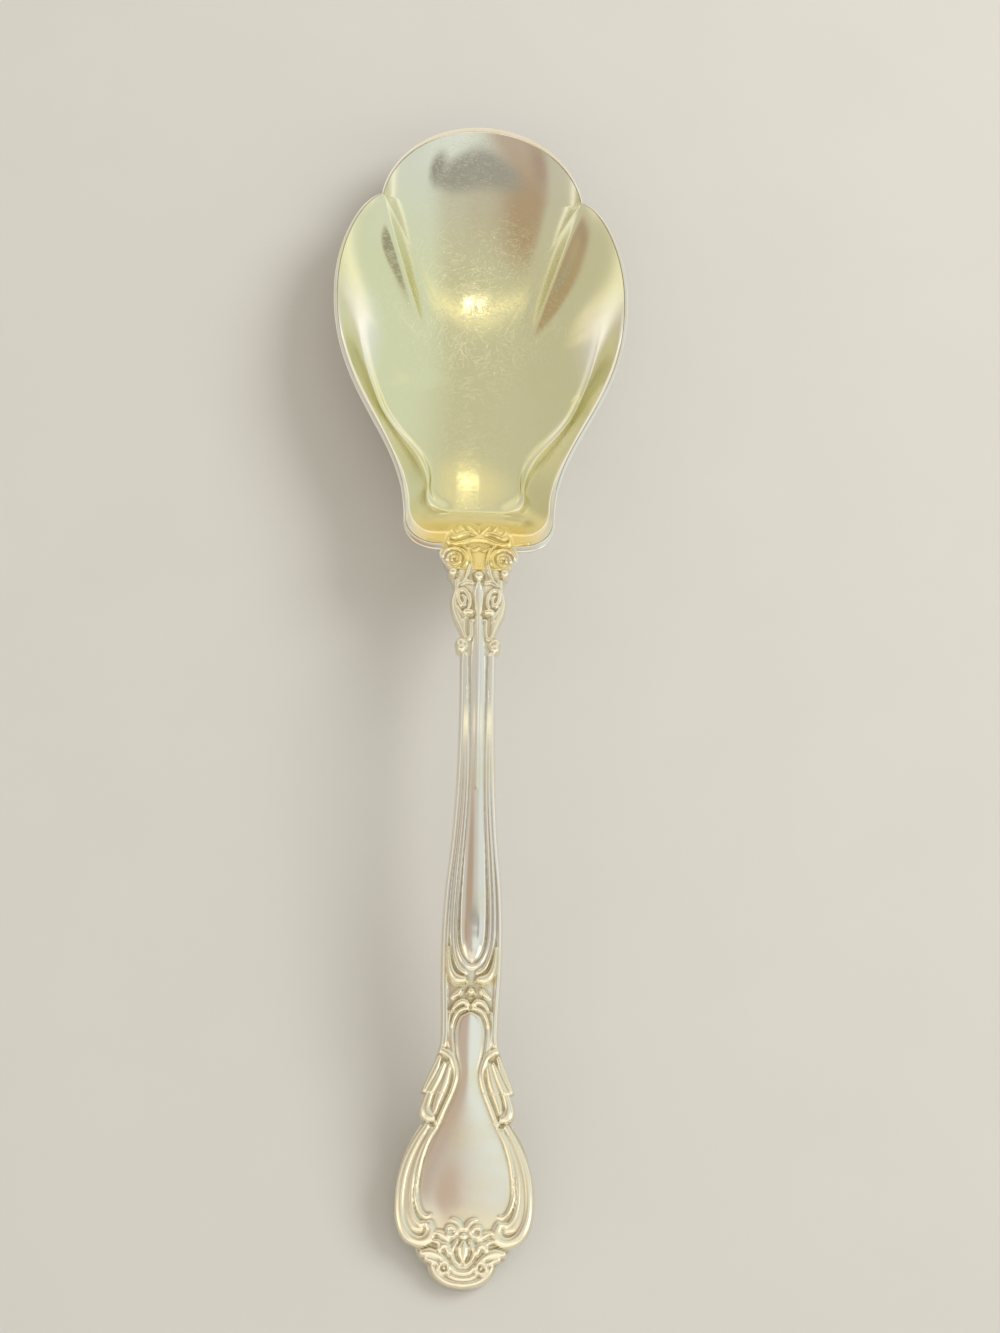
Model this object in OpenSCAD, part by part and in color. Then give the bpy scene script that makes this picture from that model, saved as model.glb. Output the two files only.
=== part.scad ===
// Casserole spoon lying at rest on a table: a fluted shell bowl and a scrolled handle.
// The bowl points along +Y and the handle along -Y. Z is up from the table.

/* [Bowl] */
// Length of the bowl, from its heel edge to its tip
bowl_length = 95; // [88:1:110]
// Width of the bowl at its widest
bowl_width = 56; // [52:1:62]
// How far the widest place lies from the tip
widest_from_tip = 39; // [36:1:44]
// Distance between the two notches of the rim
notch_span = 39.2; // [36:0.2:42]
// How far the middle lobe stands out past the notches
lobe_length = 17.6; // [15:0.2:21]
// How far the middle lobe swells sideways past each notch
lobe_swell = 0.15; // [0.1:0.05:0.6]
// Half the width of the ellipse that shapes each side lobe
side_lobe_reach = 12; // [10:0.5:16]
// Width across the rounded ears at the heel
ear_width = 27.4; // [24:0.2:30]
// Length of the ears along the bowl
ear_length = 6; // [5:0.5:8]
// Length of the straight heel edge that meets the handle
heel_width = 15; // [14:0.5:17]
// Height of the rim at the tip
tip_rim_height = 11; // [9:0.5:13]
// Height of the rim at the heel
heel_rim_height = 18.3; // [16:0.1:20]
// Distance from the tip to the lowest place of the bowl
low_from_tip = 51; // [47:1:56]
// Thickness of the bowl's sheet
sheet_thickness = 1.2; // [0.9:0.1:1.6]
// Depth worn flat under the bowl
base_wear = 0.15; // [0.1:0.05:0.3]
// Height of the two pleats at their fullest
pleat_height = 2.4; // [1.6:0.1:2.8]
// Length of each pleat, from its notch inwards
pleat_length = 27; // [23:1:32]
// Angle of each pleat to the bowl's long axis
pleat_angle = 20; // [16:1:24]
// Width of each pleat near its notch, if its outer side were as steep as its inner one
pleat_width = 6; // [4:0.5:7]
// Times wider that the outer side of a pleat is than its inner side
pleat_spread = 2; // [1:0.1:2.2]
// Length of the slope that rises from the floor to the heel edge
heel_ramp = 15; // [13:0.5:17]
// Width of the flute that rises from the floor to each flank
flank_ramp = 5; // [4:0.5:7]
// Height of the soft ridge along the foot of each flute
ridge_height = 0.5; // [0.3:0.1:0.8]
// Width of the turned-out lip at the ears
lip_width = 3.6; // [2.8:0.1:4.4]
// Width of the lip along the flanks
lip_least = 1.2; // [0.8:0.1:1.8]
// Thickness of the gold wash inside the bowl
gilding = 0.06; // [0.04:0.01:0.12]
// Silver left bare along the rim, as a part of the last ring
rim_margin = 0.3; // [0.1:0.05:0.6]

/* [Handle] */
// Length of the handle, from the heel edge to its end
handle_length = 127; // [120:1:140]
// Angle at which the neck rises from the bowl
neck_rise = 13; // [9:1:16]
// Angle at which the tail comes down to the table
tail_drop = 18; // [14:1:20]
// Thickness of the neck
neck_thickness = 3.4; // [3:0.1:4]
// Thickness of the stem
stem_thickness = 3.2; // [2.6:0.1:3.8]
// Thickness of the tail
tail_thickness = 2.2; // [1.8:0.1:2.8]
// Width of the neck at the heel edge
neck_width = 13.2; // [12:0.2:13.8]
// Width of the throat between the two pairs of neck scrolls
throat_width = 8.8; // [8:0.2:10]
// Width of the vase-shaped swelling below the throat
vase_width = 9.8; // [9:0.2:11]
// Width of the stem at its narrowest
stem_width = 6.3; // [5.6:0.1:7.2]
// Width of the stem where its tongue ends
swell_width = 10.1; // [9:0.1:11]
// Width of the waist above the shoulder scrolls
waist_width = 9.4; // [8.6:0.2:10.4]
// Width across the shoulder scrolls
shoulder_width = 15; // [14:0.2:16]
// Width of the cartouche at its widest
cartouche_width = 23.2; // [21:0.2:25]
// Width of the shell lobe at the end
tail_lobe_width = 14.4; // [13:0.2:16]
// Length of the shell lobe at the end
tail_lobe_length = 6.4; // [5.5:0.1:7.5]
// Height of the scrolls over the blank
relief = 0.55; // [0.4:0.05:0.8]

/* [Joint] */
// Thickness of the solder film between the bowl's heel and the handle
solder_film = 0.15; // [0.1:0.05:0.3]
// Gap left between soldered faces
fit_gap = 0.03; // [0.02:0.01:0.08]
// Thickness of the crest plate that laps over the heel
crest_thickness = 0.7; // [0.5:0.1:1]
// Width of the heel drop where it meets the handle
drop_width = 9; // [7:0.5:9.5]
// Thickness of the heel drop where it meets the handle
drop_thickness = 1.9; // [1.4:0.1:2.2]

/* [Hidden] */

silver = "#d8d6cf";
gilt = "#d9cc93";
deep_gilt = "#d8b64c";
solder_grey = "#b9b8b2";

// Places along the bowl
total_length = bowl_length + handle_length;
tip_y = total_length / 2;
heel_y = tip_y - bowl_length;
notch = [notch_span / 2, tip_y - lobe_length];
widest = [bowl_width / 2, tip_y - widest_from_tip];
ear = [ear_width / 2, heel_y + ear_length];
low_y = tip_y - low_from_tip;
floor_z = sheet_thickness - base_wear;

// Steps around half the rim and out from the lowest place
heel_steps = 3;
ear_steps = 4;
flank_steps = 7;
side_steps = 8;
lobe_steps = 8;
ring_count = 11;
floor_rings = 4;
ring_crowding = 0.72;
floor_crowding = 0.8;
least_crease = 0.8;

// Inner face: rise of the floor across and along, rise of the front, foot of the wall,
// roll over the heel, lip
floor_across = 0.012;
floor_along = 0.0018;
front_power = 2.2;
foot_power = 1.45;
heel_roll = 2.6;
lip_slope = 0.15;
ridge_width = 1.2;
ramp_narrows = 0.6;
lip_narrows = 0.4;
back_ends = 0.62;
level_power = 3;

function mix(a, b, t) = a + (b - a) * t;
function clamp(v) = min(1, max(0, v));
function ease(t) = let (c = clamp(t)) c * c * (3 - 2 * c);
function unit(v) = v / norm(v);
function bezier(a, b, c, d, t) =
    pow(1 - t, 3) * a + 3 * pow(1 - t, 2) * t * b + 3 * (1 - t) * t * t * c + pow(t, 3) * d;

// Smooth curve through [place, value] stations
function spot(table, s, i = 0) = i >= len(table) - 2 || s < table[i + 1][0] ? i : spot(table, s, i + 1);
function slope(table, i) =
    let (a = table[max(0, i - 1)], b = table[min(len(table) - 1, i + 1)]) (b[1] - a[1]) / (b[0] - a[0]);
function along(table, s) =
    let (
        i = spot(table, s),
        a = table[i],
        b = table[i + 1],
        d = b[0] - a[0],
        t = clamp((s - a[0]) / d),
        bend = t * t * (3 - 2 * t)
    )
    mix(a[1], b[1], bend) + d * t * (1 - t) * (slope(table, i) * (1 - t) - slope(table, i + 1) * t);

// Rim of the bowl in plan, from the heel round to the tip
side_centre_x = min(widest.x - side_lobe_reach, notch.x - 1);
side_half = widest.x - side_centre_x;
side_start = acos((notch.x - side_centre_x) / side_half);
side_rise = (notch.y - widest.y) / sin(side_start);
lobe_half = notch.x + lobe_swell;
lobe_start = acos(notch.x / lobe_half);
lobe_rise = lobe_length / (1 - sin(lobe_start));
flank_length = widest.y - ear.y;
ear_pull = [0, 0.36 * flank_length];
widest_pull = [0, 0.5 * flank_length];

heel_corner = [heel_width / 2, heel_y];
ear_round = 0.61 * (ear.x - heel_corner.x);
heel_edge = [for (i = [0 : heel_steps - 1]) [heel_corner.x * i / heel_steps, heel_y]];
ear_edge = [for (i = [0 : ear_steps - 1])
    bezier(heel_corner, heel_corner + [ear_round, 0.2], ear - [0, ear_round], ear, i / ear_steps)];
flank_edge = [for (i = [0 : flank_steps - 1])
    bezier(ear, ear + ear_pull, widest - widest_pull, widest, i / flank_steps)];
side_edge = [for (i = [0 : side_steps - 1])
    let (a = side_start * i / side_steps)
    [side_centre_x + side_half * cos(a), widest.y + side_rise * sin(a)]];
lobe_edge = [for (i = [0 : lobe_steps])
    let (a = mix(lobe_start, 90, i / lobe_steps))
    [lobe_half * cos(a), tip_y - lobe_rise * (1 - sin(a))]];
back_rim = concat(heel_edge, ear_edge, flank_edge);
half_rim = concat(back_rim, side_edge, lobe_edge);
function mirrored(half) = concat(half, [for (i = [len(half) - 2 : -1 : 1]) [-half[i].x, half[i].y]]);
rim = mirrored(half_rim);
rim_count = len(rim);

// Level line near the floor: the same outline with a squarer front and no notches
flat_power = 0.67;
flat_turn = acos(notch.x / widest.x);
function flat_point(a) =
    [widest.x * pow(max(cos(a), 0), flat_power), widest.y + widest_from_tip * pow(sin(a), flat_power)];
flat_rim = mirrored(concat(
    back_rim,
    [for (i = [0 : side_steps - 1]) flat_point(flat_turn * i / side_steps)],
    [for (i = [0 : lobe_steps]) flat_point(mix(flat_turn, 90, i / lobe_steps))]));

// Pleat: a fold that runs from the notch inwards, level with the rim at first, and fades
pleat_run = [-sin(pleat_angle), -cos(pleat_angle)];
pleat_side = [cos(pleat_angle), -sin(pleat_angle)];
pleat_swell = 0.45;
pleat_fade = 1.1;
pleat_gain = 2.54;
pleat_crown = 0.15;
pleat_taper = 0.3;
pleat_flare = 1.4;
pleat_turn = 1.5;
function pleat(x, y) =
    let (
        from_notch = [abs(x), y] - notch,
        run = clamp(from_notch * pleat_run / pleat_length),
        across = from_notch * pleat_side,
        spread = mix(1, pleat_spread, ease(across / pleat_turn + 0.5)),
        wide = pleat_width / 2 * mix(1, pleat_taper, run) * spread,
        off = norm([across, pleat_crown]) / wide
    )
    pleat_gain * pleat_height * pow(run, pleat_swell) * pow(1 - run, pleat_fade)
        * exp(-pow(off, pleat_flare));

// Measures of the wall at a rim point: its share of the way to the widest place and out to the ear,
// the widths of its slope and of its lip
lip_from = heel_corner.x - 1.5;
function rim_height(y) = mix(heel_rim_height, tip_rim_height, (y - heel_y) / bowl_length);
function ahead(edge) = clamp((edge.y - heel_y) / (widest.y - heel_y));
function aside(edge) = ease((abs(edge.x) - lip_from) / (ear.x - lip_from));
function back_share(edge) = 1 - ease((ahead(edge) - back_ends) / (1 - back_ends));
function reach(edge) = norm(edge - [0, low_y]);
function foot(edge) = mix(heel_ramp, flank_ramp, ease(ahead(edge) / ramp_narrows));
function lip(edge) = aside(edge) * mix(lip_width, lip_least, ease(ahead(edge) / lip_narrows));

// Inner face of the bowl: u runs from 0 at the lowest place to 1 at the rim
function back_height(edge, x, y, inward) =
    let (
        low = floor_across * x * x + floor_along * pow(y - low_y, 2),
        high = rim_height(edge.y) - floor_z - lip_slope * lip(edge),
        climb = clamp((foot(edge) - inward) / (foot(edge) - lip(edge))),
        wall = 1 - pow(1 - pow(climb, foot_power), mix(heel_roll, 1, aside(edge))),
        flare = lip_slope * max(0, lip(edge) - inward),
        off = (inward - foot(edge)) / ridge_width
    )
    mix(low, high, wall) + flare + ridge_height * aside(edge) * exp(-off * off);
function bowl_point(i, u) =
    let (
        edge = rim[i],
        level = mix(flat_rim[i], edge, pow(u, level_power)),
        x = level.x * u,
        y = mix(low_y, level.y, u),
        front = (rim_height(edge.y) - floor_z) * pow(u, front_power),
        back = back_height(edge, x, y, (1 - u) * reach(edge))
    )
    [x, y, floor_z + mix(front, back, back_share(edge)) + pleat(x, y)];

// Rings crowd towards the rim in front, and at the back they follow the foot of the wall and its lip
function ring_place(edge, j) =
    let (
        even = pow(j / ring_count, ring_crowding),
        foot_place = 1 - foot(edge) / reach(edge),
        step = (j - floor_rings) / (ring_count - 1 - floor_rings),
        fitted = j <= floor_rings ? foot_place * pow(j / floor_rings, floor_crowding)
            : 1 - mix(foot(edge), max(lip(edge), least_crease), step) / reach(edge)
    )
    j == ring_count ? 1 : mix(even, fitted, back_share(edge));
inner = [for (i = [0 : rim_count - 1]) [for (j = [0 : ring_count]) bowl_point(i, ring_place(rim[i], j))]];

// Upward normal of a grid that runs round the rim and outwards, level at the middle and at the rim
function grid_normal(grid, i, j) =
    let (
        n = len(grid),
        out = grid[i][min(j + 1, ring_count)] - grid[i][max(j - 1, 0)],
        around = grid[(i + 1) % n][j] - grid[(i + n - 1) % n][j]
    )
    j == 0 || j == ring_count ? [0, 0, 1] : unit(cross(out, around));
function lifted(grid, by) =
    [for (i = [0 : len(grid) - 1]) [for (j = [0 : ring_count]) grid[i][j] + by * grid_normal(grid, i, j)]];
function rested(grid) =
    [for (ray = grid) [for (p = ray) [p.x, p.y, max(p.z, 0)]]];
function trimmed(grid, margin) =
    [for (ray = grid) [for (j = [0 : ring_count])
        j < ring_count ? ray[j] : mix(ray[j], ray[j - 1], margin)]];
outer = rested(lifted(inner, -sheet_thickness));
wash_low = lifted(inner, fit_gap);
wash_high = lifted(inner, fit_gap + gilding);

// Closed dish between two grids of the same layout
module dish(high, low) {
    n = len(high);
    m = ring_count;
    top = [for (ray = high) for (j = [1 : m]) ray[j]];
    base = [for (ray = low) for (j = [1 : m]) ray[j]];
    low_start = n * m;
    top_mid = 2 * n * m;
    low_mid = top_mid + 1;
    function at(i, j) = (i % n) * m + j - 1;
    polyhedron(
        concat(top, base, [high[0][0], low[0][0]]),
        [for (i = [0 : n - 1]) each concat(
            [[top_mid, at(i + 1, 1), at(i, 1)], [low_mid, low_start + at(i, 1), low_start + at(i + 1, 1)]],
            [for (j = [1 : m - 1]) each [
                [at(i, j), at(i + 1, j), at(i + 1, j + 1)],
                [at(i, j), at(i + 1, j + 1), at(i, j + 1)],
                [low_start + at(i, j), low_start + at(i + 1, j + 1), low_start + at(i + 1, j)],
                [low_start + at(i, j), low_start + at(i, j + 1), low_start + at(i + 1, j + 1)]]],
            [[at(i, m), at(i + 1, m), low_start + at(i + 1, m)],
                [at(i, m), low_start + at(i + 1, m), low_start + at(i, m)]])],
        convexity = 6);
}

// Closed skin over a row of rings that have the same number of points
module loft(sections) {
    n = len(sections[0]);
    last = len(sections) - 1;
    function middle(ring) = [for (p = ring) 1] * ring / len(ring);
    first_mid = n * len(sections);
    polyhedron(
        concat([for (ring = sections) each ring], [middle(sections[0]), middle(sections[last])]),
        [for (i = [0 : n - 1]) let (k = (i + 1) % n) each concat(
            [[first_mid, k, i], [first_mid + 1, last * n + i, last * n + k]],
            [for (r = [0 : last - 1]) each [
                [r * n + i, r * n + k, (r + 1) * n + k],
                [r * n + i, (r + 1) * n + k, (r + 1) * n + i]]])],
        convexity = 6);
}

// Closed plate between two grids of rows that run towards -Y, each from -X to +X
module plate(high, low) {
    rows = len(high);
    m = len(high[0]);
    below = rows * m;
    border = concat(
        [for (k = [0 : m - 2]) k],
        [for (r = [0 : rows - 2]) r * m + m - 1],
        [for (k = [m - 1 : -1 : 1]) (rows - 1) * m + k],
        [for (r = [rows - 1 : -1 : 1]) r * m]);
    polyhedron(
        concat([for (row = high) each row], [for (row = low) each row]),
        concat(
            [for (r = [0 : rows - 2]) for (k = [0 : m - 2]) let (a = r * m + k) each [
                [a, a + 1, a + m + 1],
                [a, a + m + 1, a + m],
                [below + a, below + a + m + 1, below + a + 1],
                [below + a, below + a + m, below + a + m + 1]]],
            [for (i = [0 : len(border) - 1])
                let (a = border[i], b = border[(i + 1) % len(border)]) each [
                [b, a, below + a],
                [b, below + a, below + b]]]),
        convexity = 6);
}

// Blank of the handle: s is the distance from the heel edge along the handle
tail = handle_length;
half_widths = [
    [0, neck_width / 2],
    [4, neck_width / 2 - 1.3],
    [7.7, throat_width / 2],
    [11, vase_width / 2],
    [16.8, stem_width / 2],
    [36, stem_width / 2],
    [tail - 71, mix(stem_width, swell_width, 0.45) / 2],
    [tail - 56, swell_width / 2],
    [tail - 40, waist_width / 2],
    [tail - 31.2, shoulder_width / 2 + 0.3],
    [tail - 29.6, shoulder_width / 2 - 0.1],
    [tail - 25.6, shoulder_width / 2],
    [tail - 19, cartouche_width / 2 - 0.9],
    [tail - 13.3, cartouche_width / 2],
    [tail - 9, cartouche_width / 2 - 1.1],
    [tail - tail_lobe_length, tail_lobe_width / 2]];
thicknesses = [
    [0, neck_thickness],
    [18, stem_thickness],
    [tail - 60, stem_thickness],
    [tail - 30, tail_thickness + 0.2],
    [tail, tail_thickness]];

// Bosses that round out the edge: place along, distance from the middle, radius
edge_bosses = [
    [5.4, throat_width / 2, 1.1],
    [20, stem_width / 2 - 0.2, 1.15],
    [tail - 27.6, shoulder_width / 2 - 1.1, 1.6]];

function blank_width(s) = along(half_widths, s);
function lobe_width(s) =
    tail_lobe_width / 2 * sqrt(max(0, 1 - pow(1 - (tail - s) / tail_lobe_length, 2)));
function half_width(s) = s > tail - tail_lobe_length ? lobe_width(s) : max([
    blank_width(s),
    for (b = edge_bosses) if (abs(s - b[0]) < b[2]) b[1] + sqrt(b[2] * b[2] - pow(s - b[0], 2))]);
function thickness(s) = along(thicknesses, s);
function arch(s) =
    let (
        start = heel_rim_height - neck_thickness / 2,
        finish = tail_thickness / 2,
        pull = handle_length / 3
    )
    bezier(start, start + pull * tan(neck_rise), finish + pull * tan(tail_drop), finish, s / handle_length);

// Section of the blank: square at the neck's seat, rounder along the stem
function roundness(s) = mix(6, 2.6, ease(s / 10));
function crown(f, s) = thickness(s) / 2 * pow(max(0, 1 - pow(abs(f), roundness(s))), 1 / roundness(s));

// Curves on the top of the handle, as points [s, x]
function curve(points, steps) = concat([for (i = [0 : len(points) - 2]) for (k = [0 : steps - 1])
    let (
        a = points[max(0, i - 1)],
        b = points[i],
        c = points[i + 1],
        d = points[min(len(points) - 1, i + 2)]
    )
    bezier(b, b + (c - a) / 6, c - (d - b) / 6, c, k / steps)], [points[len(points) - 1]]);
function spiral(centre, radius, from, turns, steps) = [for (k = [0 : steps])
    let (t = k / steps, a = from + 360 * turns * t)
    centre + radius * mix(1, 0.3, t) * [cos(a), sin(a)]];

// Ridge: a rounded cord along a curve, as [curve, half-width at its start, at its end, height]
function ridge(path, start, finish, rise) =
    let (places = [for (p = path) p[0]], reach = max(start, finish))
    [path, start, finish, rise, min(places) - reach, max(places) + reach];
function bead(s, x, r, rise) = ridge([[s - 0.05, x], [s + 0.05, x]], r, r, rise);
function ridge_height(p, cord) =
    let (path = cord[0], last = len(path) - 2)
    max([for (k = [0 : last])
        let (
            a = path[k],
            run = path[k + 1] - a,
            t = clamp((p - a) * run / (run * run)),
            r = mix(cord[1], cord[2], (k + t) / (last + 1)),
            off = norm(p - a - t * run) / r
        )
        cord[3] * max(0, 1 - off * off)]);
function ridges_height(cords, s, x) =
    max([0, for (c = cords) if (s > c[4] && s < c[5]) ridge_height([s, abs(x)], c)]);

// Panel: a raised plain field with its own half-width stations
function panel_height(table, rise, soft, s, x) =
    s < table[0][0] || s > table[len(table) - 1][0] ? 0 : rise * ease((along(table, s) - abs(x)) / soft);

// Places across the neck and the stem are shares of the local half-width
function shared(points) = [for (p = points) [p[0], p[1] * blank_width(p[0])]];
// Places on the cartouche run from the tail's end, across in shares of its half-width
function from_end(points) = [for (p = points) [tail - p[0], p[1] * cartouche_width / 2]];

tongue_end = tail - 51.5;
tongue = [[8, 0.45], [20, 0.95], [40, 1.3], [tongue_end - 12, 1.9], [tongue_end - 3, 2.1], [tongue_end, 0.3]];
field = [[tail - 43, 0.4], [tail - 41.6, 2.2], [tail - 38, 2.3], [tail - 33, 2.2], [tail - 28, 3.4],
    [tail - 21, 0.5 * cartouche_width / 2], [tail - 14.5, 0.55 * cartouche_width / 2], [tail - 12, 2]];

neck_cords = [
    bead(6.4, 0, 1, relief * 1.6),
    bead(5.4, throat_width / 2, 1.1, relief * 1.4),
    ridge(curve(shared([[7.4, 0.8], [11, 0.9], [14, 0.88], [15.6, 0.55], [14.4, 0.4]]), 3),
        0.65, 0.6, relief),
    ridge(spiral([10.7, 0.5 * vase_width / 2], 1.3, 200, 1, 8), 0.5, 0.5, relief),
    ridge(curve(shared([[15.8, 0.8], [18.4, 0.8], [19.3, 0.55], [18.2, 0.38], [16, 0.4]]), 2),
        0.4, 0.4, relief),
    bead(20, stem_width / 2 - 0.1, 1.1, relief * 1.4)];
stem_cords = [
    ridge([for (s = [21.6 : 3 : tail - 39]) [s, blank_width(s) - 0.65]], 0.7, 0.7, relief),
    ridge([for (s = [21.6 : 3 : tongue_end - 3]) [s, 0.62 * blank_width(s)]], 0.4, 0.5, relief * 0.6)];
link_cords = [
    ridge(curve([[tongue_end - 3, 3], [tongue_end + 0.6, 2.5], [tongue_end + 2, 1.3],
        [tongue_end + 2.3, 0]], 3), 0.5, 0.5, relief * 0.8),
    ridge(spiral([tongue_end + 3.4, 1.9], 1, 100, 0.9, 8), 0.5, 0.45, relief),
    bead(tongue_end + 5.2, 0, 0.85, relief * 1.3),
    ridge(curve([[tongue_end + 6, 0.9], [tongue_end + 6.8, 2], [tongue_end + 8.2, 2.8]], 3),
        0.6, 0.35, relief)];
shoulder_cords = [
    ridge(curve(from_end([[39, 0.36], [36.5, 0.42], [33.5, 0.53], [30.6, 0.64]]), 3),
        0.75, 0.5, relief * 1.2),
    ridge(curve(from_end([[37, 0.25], [34, 0.34], [30, 0.5], [27, 0.6], [25.8, 0.52], [27, 0.44]]), 3),
        0.65, 0.8, relief * 1.2),
    ridge(curve(from_end([[34, 0.24], [31, 0.34], [28.3, 0.44]]), 3), 0.45, 0.45, relief * 0.7)];
border_cords = [
    ridge(curve(from_end([[25.6, 0.6], [19, 0.85], [13.3, 0.93], [9.4, 0.86], [7.1, 0.66], [7.4, 0.45],
        [9, 0.38]]), 4), 0.75, 1.2, relief * 1.3),
    ridge(curve(from_end([[25, 0.52], [19, 0.7], [13.5, 0.77], [10, 0.66], [9.6, 0.52]]), 4),
        0.6, 0.7, relief),
    ridge(curve(from_end([[25.2, 0.42], [18.6, 0.59], [14, 0.64], [11.6, 0.56], [11.5, 0.47]]), 4),
        0.5, 0.7, relief)];
crest_cords = [
    ridge(from_end([[11.8, 0], [9.4, 0]]), 0.5, 0.9, relief),
    ridge(from_end([[9.8, 0.07], [11.2, 0.2]]), 0.7, 0.5, relief),
    ridge(spiral([tail - 8.8, 0.2 * cartouche_width / 2], 0.9, 90, 0.9, 7), 0.6, 0.5, relief),
    ridge(from_end([[7.6, 0], [4.2, 0]]), 1.3, 0.7, relief * 1.8),
    ridge(from_end([[6.6, 0.13], [7.8, 0.25]]), 0.8, 0.5, relief * 1.2),
    ridge(from_end([[4.8, 0.16], [5.6, 0.32]]), 0.8, 0.6, relief * 1.2),
    ridge(from_end([[5.6, 0.52], [3.9, 0.4]]), 0.9, 0.6, relief * 1.3),
    ridge(spiral([tail - 3.2, 0.26 * cartouche_width / 2], 1, 0, 0.95, 8), 0.6, 0.5, relief * 1.3),
    ridge([for (k = [0 : 6]) let (a = mix(0, 70, k / 6))
        [tail - tail_lobe_length * (1 - 0.84 * cos(a)), 0.84 * tail_lobe_width / 2 * sin(a)]],
        0.7, 0.7, relief)];
all_cords = concat(neck_cords, stem_cords, link_cords, shoulder_cords, border_cords, crest_cords);
function relief_height(s, x) = max(
    ridges_height(all_cords, s, x),
    panel_height(tongue, relief, 0.5, s, x),
    panel_height(field, relief * 0.9, 0.9, s, x));

// Handle, section by section: points across its top, then back along its underside
top_steps = 26;
under_steps = 6;
function edge_fade(f) = min(1, (1 - abs(f)) * top_steps / 3);
function handle_section(s) =
    let (w = half_width(s), y = heel_y - s, mid = arch(s))
    concat(
        [for (k = [1 : under_steps - 1]) let (f = cos(180 * k / under_steps)) [w * f, y, mid - crown(f, s)]],
        [for (k = [0 : top_steps])
            let (f = mix(-1, 1, k / top_steps))
            [w * f, y, mid + crown(f, s) + edge_fade(f) * relief_height(s, w * f)]]);
ornament_step = 0.75;
stem_step = 2.8;
handle_places = concat(
    [for (s = [solder_film : ornament_step : 22]) s],
    [for (s = [23 : stem_step : tongue_end - 3]) s],
    [for (s = [tongue_end - 2.6 : ornament_step : tail - tail_lobe_length]) s],
    [for (a = [0 : 9 : 72]) tail - tail_lobe_length * (1 - sin(a + 2))],
    [tail - tail_lobe_length * (1 - sin(87))]);

module bowl() {
    color(silver)
        dish(inner, outer);
}

module gilt_lining() {
    color(gilt)
        dish(trimmed(wash_high, rim_margin), trimmed(wash_low, rim_margin));
}

module handle() {
    color(silver)
        loft([for (s = handle_places) handle_section(s)]);
}

// Crest: laps over the bowl's heel in front and over the flat seat of the neck behind
heel_up = [for (j = [0 : ring_count]) grid_normal(inner, 0, j)];
heel_line = [for (j = [ring_count : -1 : 0]) [heel_y - wash_high[0][j].y, wash_high[0][j].z]];
crest_lap = 5.6;
crest_wave = 1.8;
crest_back = 4.2;
crest_half = neck_width / 2 + 0.5;
crest_rows = 20;
crest_steps = 16;
function line_height(line, s, i = 0) =
    i >= len(line) - 2 || s > line[i + 1][0]
        ? mix(line[i][1], line[i + 1][1], (s - line[i][0]) / (line[i + 1][0] - line[i][0]))
        : line_height(line, s, i + 1);
function crest_seat(s) = s < 0 ? line_height(heel_line, s) : arch(s) + thickness(s) / 2;
function crest_front(f) = -crest_lap - crest_wave * sin(180 * pow(abs(f), 0.8));
function crest_width(s) = along([[-8, 4.7], [-5, 5.6], [-1, 6.5], [1.4, crest_half], [crest_back, 4.2]], s);
crest_waves = [
    ridge(curve([[-2.2, 0.2], [-3.4, 1.6], [-3.2, 3], [-1.8, 4.2], [-1.4, 5.4]], 3), 0.5, 0.5, relief),
    ridge(spiral([1.6, crest_half - 2.5], 1.8, 150, 1.2, 12), 0.6, 0.5, relief)];
function crest_point(v, f, high) =
    let (
        s = mix(crest_front(f), crest_back, v),
        x = f * crest_width(s),
        rim = min(1, 4 * min(1 - abs(f), v, 1 - v))
    )
    [x, heel_y - s, crest_seat(s) + (high
        ? crest_thickness * mix(0.4, 1, rim) + ridges_height(crest_waves, s, x)
        : fit_gap)];
function crest_grid(high) = [for (r = [0 : crest_rows]) [for (k = [0 : crest_steps])
    crest_point(r / crest_rows, 2 * k / crest_steps - 1, high)]];
module neck_crest() {
    color(deep_gilt)
        plate(crest_grid(true), crest_grid(false));
}

drop_rings = 6;
module heel_drop() {
    under = outer[0];
    color(silver)
        loft([for (k = [0 : drop_rings])
            let (
                j = ring_count - k,
                t = k / drop_rings,
                down = -heel_up[j],
                w = drop_width / 2 * (1 - 0.8 * pow(t, 1.5)),
                deep = drop_thickness * (1 - 0.85 * t)
            )
            concat(
                [for (f = [1 : -0.5 : -1]) under[j] + [f * w, 0, 0] + down * fit_gap],
                [for (f = [-1 : 0.5 : 1])
                    under[j] + [f * w, 0, 0] + down * (fit_gap + deep * (1 - 0.7 * f * f))])]);
}

// Solder film over most of the neck's end section
solder_share = 0.92;
module solder_seam() {
    middle = arch(0);
    outline = [for (a = [0 : 15 : 345])
        let (f = cos(a))
        [f * half_width(0), (sin(a) < 0 ? -1 : 1) * crown(f, 0)] * solder_share + [0, middle]];
    color(solder_grey)
        translate([0, heel_y, 0])
            rotate([90, 0, 0])
                linear_extrude(solder_film)
                    polygon(outline);
}

bowl();
gilt_lining();
handle();
neck_crest();
heel_drop();
solder_seam();
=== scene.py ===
"""Looks of a casserole spoon: a gilt shell bowl and a silver handle with scrolled relief.

Shapes are worked out in millimetres in the frame's own axes and written to meshes in metres.
The bowl points along +Y and the handle along -Y. On the handle, s is the distance from the
bowl's heel edge towards the handle's end, and x the distance from the middle line.
"""

import math

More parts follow.
